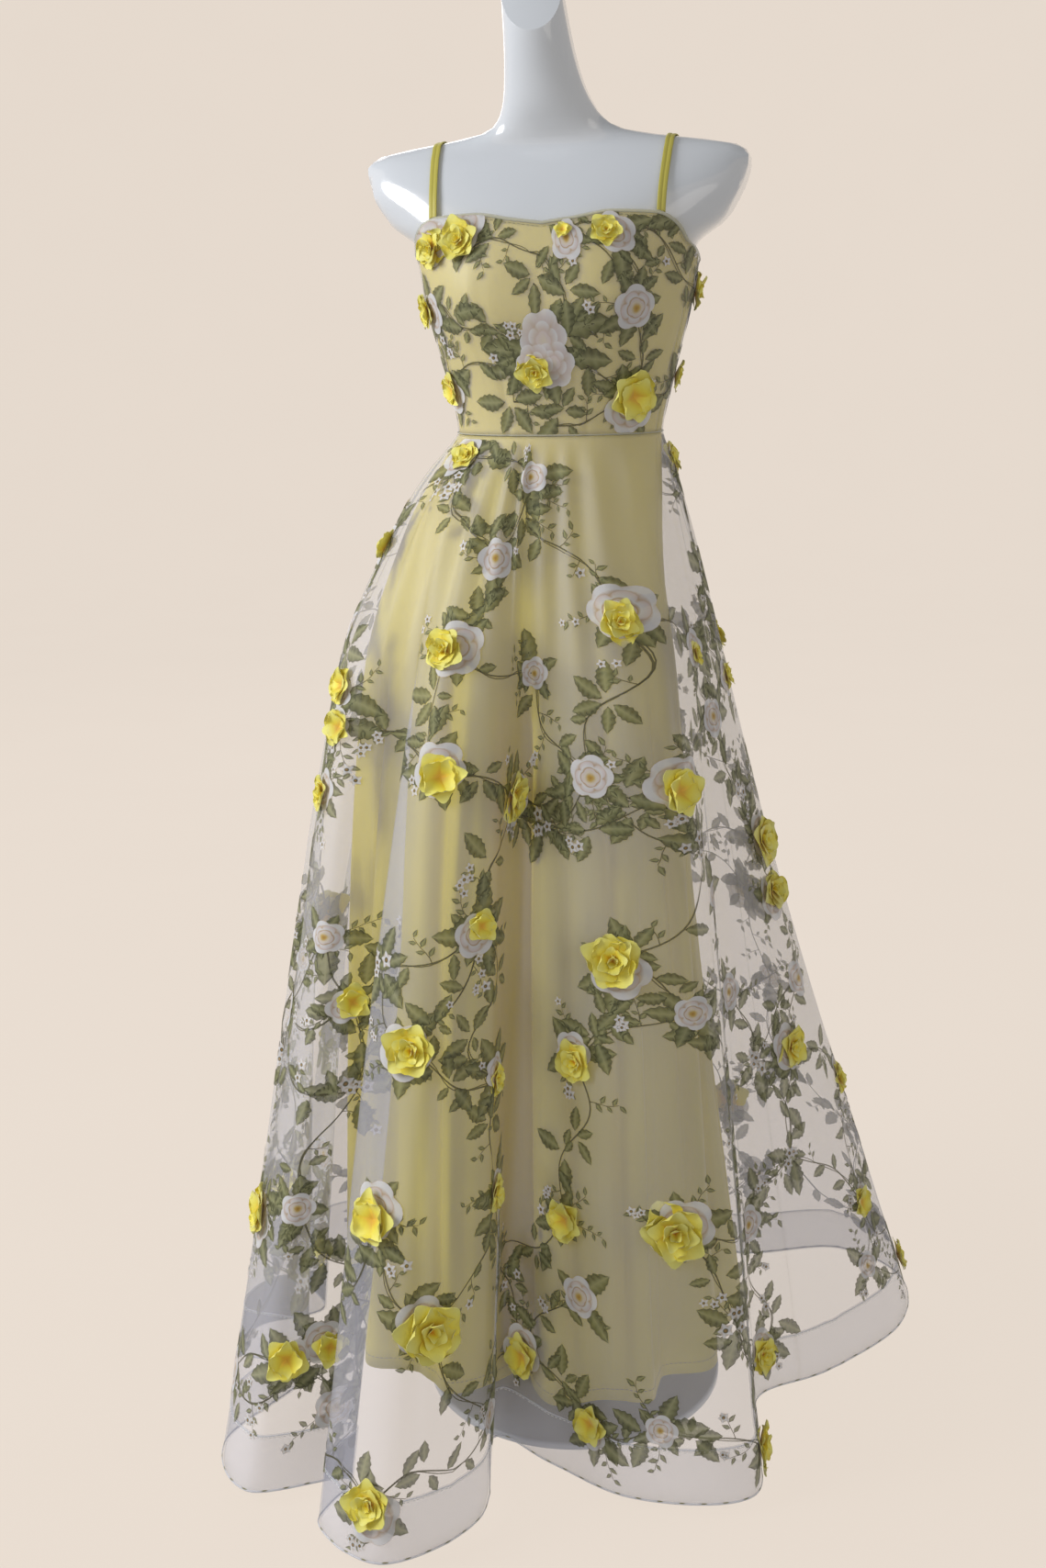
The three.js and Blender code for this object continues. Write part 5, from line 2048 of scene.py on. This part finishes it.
    def vine(self, start: tuple[float, float], end: tuple[float, float]) -> None:
        """Prints a winding double stem between two places, with leaves, tufts and sprigs along it.

        Args:
            start: The share and height it starts at.
            end: The share and height it ends at.
        """
        girth = float(self.cloth.girth((start[1] + end[1]) / 2))
        dx, dz = (end[0] - start[0]) * girth, end[1] - start[1]
        length = math.hypot(dx, dz)
        steps = max(6, int(length / 7))
        swing = self.dice.choice((-1, 1)) * self.dice.uniform(0.10, 0.2) * length
        waves = 1 if length < 150 else 2
        path, twin = [], []
        for k in range(steps + 1):
            t = k / steps
            off = swing * math.sin(math.pi * waves * t) * (0.7 + 0.3 * math.sin(5 * t))
            x, z = dx * t - dz / length * off, dz * t + dx / length * off
            path.append((start[0] + x / girth, start[1] + z))
            gap = 2.2 * math.sin(math.pi * 3 * t)
            twin.append((start[0] + (x + gap) / girth, start[1] + z + gap))
        if not all(self.inside(*place) for place in path):
            return
        self.stem(path, 1.9)
        if self.dice.random() < 0.75:
            self.stem(twin, 1.2)
        for k in range(2, steps - 1, 3):
            (s0, z0), (s1, z1) = path[k - 1], path[k + 1]
            heading = math.degrees(math.atan2(z1 - z0, (s1 - s0) * girth))
            side = 1 if (k // 3) % 2 else -1
            pick = self.dice.random()
            if pick < self.leaf_pick:
                leaf = self.leaves[self.dice.choice((0, 1, 1, 2))]
                self.stamp(leaf, *path[k], heading - 90 + side * self.dice.uniform(35, 70))
            elif pick < self.tuft_pick:
                self.tuft(*path[k], self.dice.randint(3, 5), 300, 0.95)
            elif pick < self.sprig_pick:
                self.sprig(*path[k], heading + side * self.dice.uniform(50, 90), self.dice.uniform(18, 36))

    def cover(self, blooms: Sequence[Bloom], roses: Sequence[Bloom]) -> None:
        """Prints a rose and leaves under each bloom, more roses between, and vines from each to the next.

        Args:
            blooms: The sewn-on blooms.
            roses: The places of the printed roses between them.
        """
        places = [(row.around, row.z) for row in (*blooms, *roses)]
        for k, row in enumerate((*blooms, *roses)):
            sewn = k < len(blooms)
            girth = float(self.cloth.girth(row.z))
            slide = self.dice.uniform(6, 13) if sewn else 0.0
            turn = self.dice.uniform(0, 6.28)
            s, z = row.around + slide * math.cos(turn) / girth, row.z + slide * math.sin(turn)
            self.tuft(s, z, self.dice.randint(4, 6), 330, 1.15)
            if sewn or self.dice.random() < 0.6:
                rose = self.roses[0 if sewn and row.radius > 22 else self.dice.choice((1, 2))]
                self.stamp(rose, s, z, self.dice.uniform(0, 360), 1.0, 0.6)
            else:
                for _ in range(4):
                    aside, up = self.dice.uniform(-12, 12), self.dice.uniform(-12, 12)
                    self.stamp(self.blossom, s + aside / girth, z + up, 0, self.dice.uniform(1.1, 1.7), 0.5)
            for _ in range(2):
                self.sprig(s, z, self.dice.uniform(0, 360), self.dice.uniform(36, 60))
        joined: set[tuple[int, int]] = set()
        for k, (s, z) in enumerate(places):
            far = []
            for m, (s2, z2) in enumerate(places):
                aside = ((s2 - s + 0.5) % 1.0 - 0.5) * float(self.cloth.girth((z + z2) / 2))
                far.append((math.hypot(aside, z2 - z), m))
            for distance, m in sorted(far)[1:4]:
                pair = (min(k, m), max(k, m))
                if pair in joined or not 50 < distance < 300 or self.dice.random() < 0.25:
                    continue
                joined.add(pair)
                s2, z2 = places[m]
                self.vine((s, z), (s + (s2 - s + 0.5) % 1.0 - 0.5, z2))

    def spray(self, places: Sequence[tuple[float, float, float]]) -> None:
        """Prints large pale roses that overlap, with broad leaves at their sides.

        Args:
            places: Each rose's share, height and scale.
        """
        for s, z, scale in places:
            girth = float(self.cloth.girth(z))
            for side in (-1, 1):
                turn = side * self.dice.uniform(60, 110)
                out = 16 * scale * side / girth
                self.stamp(self.leaves[0], s - out, z + self.dice.uniform(-10, 14), turn, 1.5 * scale)
        for k, (s, z, scale) in enumerate(places):
            self.stamp(self.pale_rose, s, z, self.dice.uniform(0, 360), scale, 0.6 + 0.15 * k)

    def between(self, blooms: Sequence[Bloom], heights: Sequence[float], spacing: float) -> list[Bloom]:
        """Places for printed roses, spaced evenly and clear of the blooms.

        Args:
            blooms: The sewn-on blooms.
            heights: The heights of the rows of roses.
            spacing: How far apart they are along a row.

        Returns:
            The places.
        """
        found: list[Bloom] = []
        for row, height in enumerate(heights):
            girth = float(self.cloth.girth(height))
            count = max(3, round(girth / spacing))
            for k in range(count):
                s = (k + 0.5 * (row % 2)) / count + self.dice.uniform(-18, 18) / girth
                z = height + self.dice.uniform(-26, 26)
                near = min(
                    math.hypot(((b.around - s + 0.5) % 1.0 - 0.5) * girth, b.z - z) for b in (*blooms, *found)
                )
                if near > 62 and self.inside(s, z - 20) and self.inside(s, z + 14):
                    found.append(Bloom(s, z, 18))
        return found

    def build(self, name: str) -> None:
        """Lays the gathered print on the cloth.

        Args:
            name: The start of the pieces' names.
        """

        def put(points: Array) -> Array:
            """The printed points on the organza."""
            return self.cloth.lifted(points[:, 0], points[:, 1], self.lift + points[:, 2])

        for part, sheaf in zip(self.parts, self.sheaves):
            piece(name + part, sheaf.mesh(name + part, put), Finish.INK, "organza")


# ---------- trim
@dataclass
class Trim:
    """Stitches, the hem's edges, the waist seam, the turned neckline and the zip's teeth."""

    stitch: float = 3.4
    stitch_gap: float = 1.6
    stitch_width: float = 0.7
    thread: Colour = (0.86, 0.85, 0.82)
    olive_thread: Colour = (0.24, 0.22, 0.09)

    def dash(self, length: float, width: float, rise: float) -> Stamp:
        """One stitch: a small raised pad along +X.

        Args:
            length: Its length.
            width: Its width.
            rise: Its height in the middle.

        Returns:
            The stitch.
        """
        bm = bmesh.new()
        bmesh.ops.create_grid(bm, x_segments=3, y_segments=2, size=0.5)
        for vertex in bm.verts:
            u, v = 2 * vertex.co.x, 2 * vertex.co.y
            height = rise * (1 - abs(u) ** 3) * (1 - abs(v))
            vertex.co = Vector((u * length / 2, v * width / 2 * (1 - 0.4 * abs(u) ** 3), height))
        return Stamp.of(bm, lambda points: np.ones_like(points))

    def row(
        self,
        name: str,
        cloth: Cloth,
        lift: float,
        height: Callable[[Array], Array],
        colour: Colour,
        span: tuple[float, float] = (0.0, 1.0),
    ) -> bpy.types.Object:
        """Sews a line of stitches along a height.

        Args:
            name: The piece's name.
            cloth: The layer.
            lift: The layer's lift.
            height: The line's height by share.
            colour: The thread's colour.
            span: The shares that the line runs between.

        Returns:
            The piece.
        """
        shares = np.linspace(span[0], span[1], 4000)
        line = cloth.lifted(shares, height(shares), np.full_like(shares, lift))
        length = np.concatenate([[0], np.cumsum(np.linalg.norm(np.diff(line, axis=0), axis=1))])
        pitch = self.stitch + self.stitch_gap
        starts = np.arange(pitch / 2, length[-1] - pitch / 2, pitch)
        stamp = self.dash(self.stitch, self.stitch_width, 0.45)
        sheaf = Sheaf()
        for at in starts:
            x = np.interp(at + stamp.points[:, 0], length, shares)
            z = height(x) + stamp.points[:, 1]
            points = np.stack([x, z, stamp.points[:, 2]], axis=1)
            sheaf.add(points, stamp.faces, stamp.tint * np.array(colour))
        mesh = sheaf.mesh(name, lambda p: cloth.lifted(p[:, 0], p[:, 1], lift + 0.08 + p[:, 2]))
        return piece(name, mesh, Finish.THREAD, "organza")

    def band(
        self,
        name: str,
        cloth: Cloth,
        lift: float,
        edges: tuple[Callable[[Array], Array], Callable[[Array], Array]],
        finish: Finish,
        columns: int,
        rise: float,
    ) -> bpy.types.Object:
        """Makes a narrow rounded band all the way round.

        Args:
            name: The piece's name.
            cloth: The layer.
            lift: The layer's lift.
            edges: Its lower and upper heights by share.
            finish: What it is finished in.
            columns: Faces all the way round.
            rise: How far its middle stands out.

        Returns:
            The piece.
        """
        low, high = edges

        def put(across: Array, up: Array) -> Array:
            """The band's outer face.

            Args:
                across: The shares.
                up: The parts of the way up.

            Returns:
                The points, in millimetres.
            """
            z = low(across) + (high(across) - low(across)) * up
            bulge = rise * (1 - (2 * up - 1) ** 2)
            return cloth.lifted(across, z, lift + bulge)

        mesh = grid_mesh(name, columns, 2, put)
        bm = bmesh.new()
        bm.from_mesh(mesh)
        bmesh.ops.remove_doubles(bm, verts=bm.verts[:], dist=WIDE_WELD)
        bm.to_mesh(mesh)
        bm.free()
        made = piece(name, mesh, finish, "organza")
        thicken(made, 0.4)
        return made

    def build(self) -> None:
        """Makes every trim."""
        self.row("hem_band_stitches", ORGANZA_SKIRT, 0.0, flat_edge(FACING_TOP_Z - 2.5), self.thread)
        edge = flat_edge(FACING_TOP_Z - 1.4), flat_edge(FACING_TOP_Z)
        self.band("hem_band_edge", ORGANZA_SKIRT, 0.2, edge, Finish.FACING_EDGE, 620, 0.2)
        fleck = Trim(stitch=7.0, stitch_gap=15.0, stitch_width=1.6)
        fleck.row("hem_edge_flecks", ORGANZA_SKIRT, 0.3, flat_edge(HEM_Z + 1.6), self.olive_thread)
        edge = flat_edge(HEM_Z), flat_edge(HEM_Z + 2.2)
        self.band("hem_rolled_edge", ORGANZA_SKIRT, 0.35, edge, Finish.FACING_EDGE, 620, 0.5)
        self.row("satin_hem_stitches", SATIN_SKIRT, 0.0, flat_edge(LINING_HEM_Z + 12), self.olive_thread)
        self.row("neckline_stitches", BODICE, STACK, lambda s: necklines(s) - 5.5, self.olive_thread)
        self.band(
            "neckline_edge",
            BODICE,
            STACK + 0.5,
            (lambda s: necklines(s) - 3.4, lambda s: necklines(s) + 0.4),
            Finish.EDGE,
            260,
            0.7,
        )
        seam = flat_edge(WAIST_Z + 0.1), flat_edge(WAIST_Z + 1.7)
        self.band("waist_seam", BODICE, STACK + 0.45, seam, Finish.EDGE, 260, 0.4)
        self.zip_chain()

    def zip_chain(self) -> None:
        """The closed zip below the slider: two rows of small teeth that mesh down the centre back."""
        tooth = self.dash(1.9, 1.1, 0.9)
        sheaf = Sheaf()
        top, bottom, pitch = 1227.0, WAIST_Z + 4, 1.5
        for k in range(int((top - bottom) / pitch)):
            aside = 0.7 if k % 2 else -0.7
            z = top - k * pitch
            share = 0.5 + (tooth.points[:, 0] + aside) / float(BODICE.girth(z))
            points = np.stack([share, z + tooth.points[:, 1], tooth.points[:, 2]], axis=1)
            sheaf.add(points, tooth.faces, tooth.tint)
        mesh = sheaf.mesh("zip_teeth", lambda p: BODICE.lifted(p[:, 0], p[:, 1], STACK + 0.5 + p[:, 2]))
        piece("zip_teeth", mesh, Finish.ZIP, "zip_metal")


# ---------- floor, light and camera
@dataclass
class Studio:
    """The pale round backdrop, the soft lights and the camera."""

    focal: float = 1950.0
    image_height: float = 1708.0
    principal_x: float = 569.5
    axis_x: float = 613.0
    distance: float = 1.950
    height: float = 1.170
    azimuth: float = 10.0
    pitch: float = 6.5
    roll: float = 1.0
    shift: float = -0.15
    sensor: float = 36.0
    pale: Colour = (0.807, 0.716, 0.631)
    glow: float = 0.95
    matt: float = 0.09
    inner_ring: float = 1.5
    flat_radius: float = 6.0
    bend: float = 2.0
    wall_top: float = 7.0
    floor_sides: int = 96
    aim: tuple[float, float, float] = (0.0, 0.0, 0.85)

    def camera(self) -> None:
        """A camera a little to the wearer's left, tilted slightly down."""
        azimuth, pitch, roll = (math.radians(a) for a in (self.azimuth, self.pitch, self.roll))
        yaw = math.atan((self.axis_x - self.principal_x) / self.focal)
        ahead = Matrix.Rotation(yaw, 3, "Z") @ Vector((-math.sin(azimuth), math.cos(azimuth), 0))
        right = Vector((ahead.y, -ahead.x, 0))
        up = Vector((0, 0, 1))
        look = ahead * math.cos(pitch) - up * math.sin(pitch)
        over = up * math.cos(pitch) + ahead * math.sin(pitch)
        axis_x = right * math.cos(roll) - over * math.sin(roll)
        axis_y = over * math.cos(roll) + right * math.sin(roll)
        data = bpy.data.cameras.new("camera")
        data.lens = self.focal / self.image_height * self.sensor
        data.sensor_width = self.sensor
        data.shift_y = self.shift
        data.clip_end = 60.0
        made = bpy.data.objects.new("camera", data)
        bpy.context.scene.collection.objects.link(made)
        turn = Matrix((axis_x, axis_y, -look)).transposed().to_4x4()
        turn.translation = (
            self.distance * math.sin(azimuth),
            -self.distance * math.cos(azimuth),
            self.height,
        )
        made.matrix_world = turn
        bpy.context.scene.camera = made

    def floor(self) -> None:
        """A round floor that curves up into a wall all the way round."""
        bend = [
            (self.flat_radius + self.bend * math.sin(turn), self.bend - self.bend * math.cos(turn))
            for turn in np.linspace(0, math.pi / 2, 12)
        ]
        profile = [(0.0, 0.0), (self.inner_ring, 0.0), *bend, (self.flat_radius + self.bend, self.wall_top)]
        bm = spun([(radius, 0, z) for radius, z in profile], self.floor_sides, WIDE_WELD)
        bmesh.ops.recalc_face_normals(bm, faces=bm.faces[:])
        bmesh.ops.reverse_faces(bm, faces=bm.faces[:])
        mesh = mesh_of("floor", bm)
        paint = Paint("pale_floor")
        cloud = paint.noise(3.0, 2.0)
        warm = tuple(c * 0.985 for c in self.pale)
        colour = paint.ramp(cloud.outputs["Fac"], warm, self.pale)
        paint.link(colour, paint.shader.inputs["Emission Color"])
        paint.set(Base_Color=(*(c * self.matt for c in self.pale), 1), Emission_Strength=self.glow)
        paint.set(Roughness=0.95, Specular_IOR_Level=0.0)
        mesh.materials.append(paint.material)
        mesh.shade_smooth()
        made = bpy.data.objects.new("floor", mesh)
        made.visible_diffuse = False
        bpy.context.scene.collection.objects.link(made)

    def lamp(self, name: str, place: Sequence[float], size: float, power: float, colour: Colour) -> None:
        """Hangs one large soft lamp, aimed at the dress's middle.

        Args:
            name: The lamp's name.
            place: Where it hangs, in metres.
            size: Its width, in metres.
            power: Its power, in watts.
            colour: Its colour.
        """
        data = bpy.data.lights.new(name, "AREA")
        data.shape, data.size, data.energy, data.color = "DISK", size, power, colour
        made = bpy.data.objects.new(name, data)
        bpy.context.scene.collection.objects.link(made)
        made.location = place
        made.rotation_euler = (Vector(self.aim) - Vector(place)).to_track_quat("-Z", "Y").to_euler()

    def lights(self) -> None:
        """A cool window light from the viewer's left, a weak warm fill and an even sky."""
        self.lamp("window", (-3.1, -1.5, 2.4), 2.0, 105.0, (0.93, 0.96, 1.0))
        self.lamp("fill", (2.8, -3.4, 1.8), 2.4, 14.0, (1.0, 0.95, 0.88))
        self.lamp("back", (-1.6, 3.4, 2.6), 2.4, 26.0, (0.93, 0.95, 1.0))
        world = bpy.data.worlds.new("sky")
        world.use_nodes = True
        background = world.node_tree.nodes["Background"]
        background.inputs["Color"].default_value = (0.985, 0.99, 1.0, 1)
        background.inputs["Strength"].default_value = 0.31
        bpy.context.scene.world = world
        bpy.context.scene.view_settings.view_transform = "Standard"


def main() -> None:
    """Builds the studio, the form and the dress."""
    logging.basicConfig(level=logging.INFO, format="%(name)s: %(message)s")
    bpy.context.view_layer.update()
    studio = Studio()
    studio.camera()
    studio.floor()
    studio.lights()
    DressForm().build()
    body = DressBody()
    body.build()
    Straps().build()
    Trim().build()

    organza_seams, round_seams = body.seams(True), body.seams(False)
    skirt_back, bodice_back = [], []
    for k in (1, 2):
        edges = organza_seams[k], organza_seams[k + 1]
        skirt_back += strewn_blooms(ORGANZA_SKIRT, *edges, STREWN_SKIRT, k, SKIRT_BLOOMS)
        edges = round_seams[k], round_seams[k + 1]
        bodice_back += strewn_blooms(BODICE, *edges, STREWN_BODICE, k, BODICE_BLOOMS)
    blooms = Blooms()
    blooms.build("skirt_blooms_front", ORGANZA_SKIRT, SKIRT_BLOOMS, 0.0)
    blooms.build("skirt_blooms_back", ORGANZA_SKIRT, skirt_back, 0.0)
    blooms.build("bodice_blooms", BODICE, [*BODICE_BLOOMS, *bodice_back], STACK)

    every = [*SKIRT_BLOOMS, *skirt_back]
    quarters = "_front_left", "_back_left", "_back_right", "_front_right"
    skirt_print = Print(ORGANZA_SKIRT, 0.25, 20.0, flat_edge(WAIST_Z - 4), 7, quarters)
    skirt_print.cover(every, skirt_print.between(every, range(110, 1060, 92), 150.0))
    skirt_print.build("skirt_print")
    every = [*BODICE_BLOOMS, *bodice_back]
    bodice_print = Print(BODICE, STACK + 0.25, WAIST_Z + 3, lambda share: necklines(share) - 1.5, 11)
    bodice_print.cover(every, bodice_print.between(every, (1110, 1165, 1220, 1260), 120.0))
    for start, end in BODICE_VINES:
        bodice_print.vine(start, end)
    for place in BODICE_TUFTS:
        bodice_print.tuft(*place, 5, 300, 1.2)
    bodice_print.spray(BODICE_SPRAY)
    bodice_print.build("bodice_print")

    for node in ("zip_slider", "zip_pull"):
        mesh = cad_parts[node].data
        mesh.materials.clear()
        mesh.materials.append(Finish.ZIP.material())


if __name__ == "__main__":
    main()
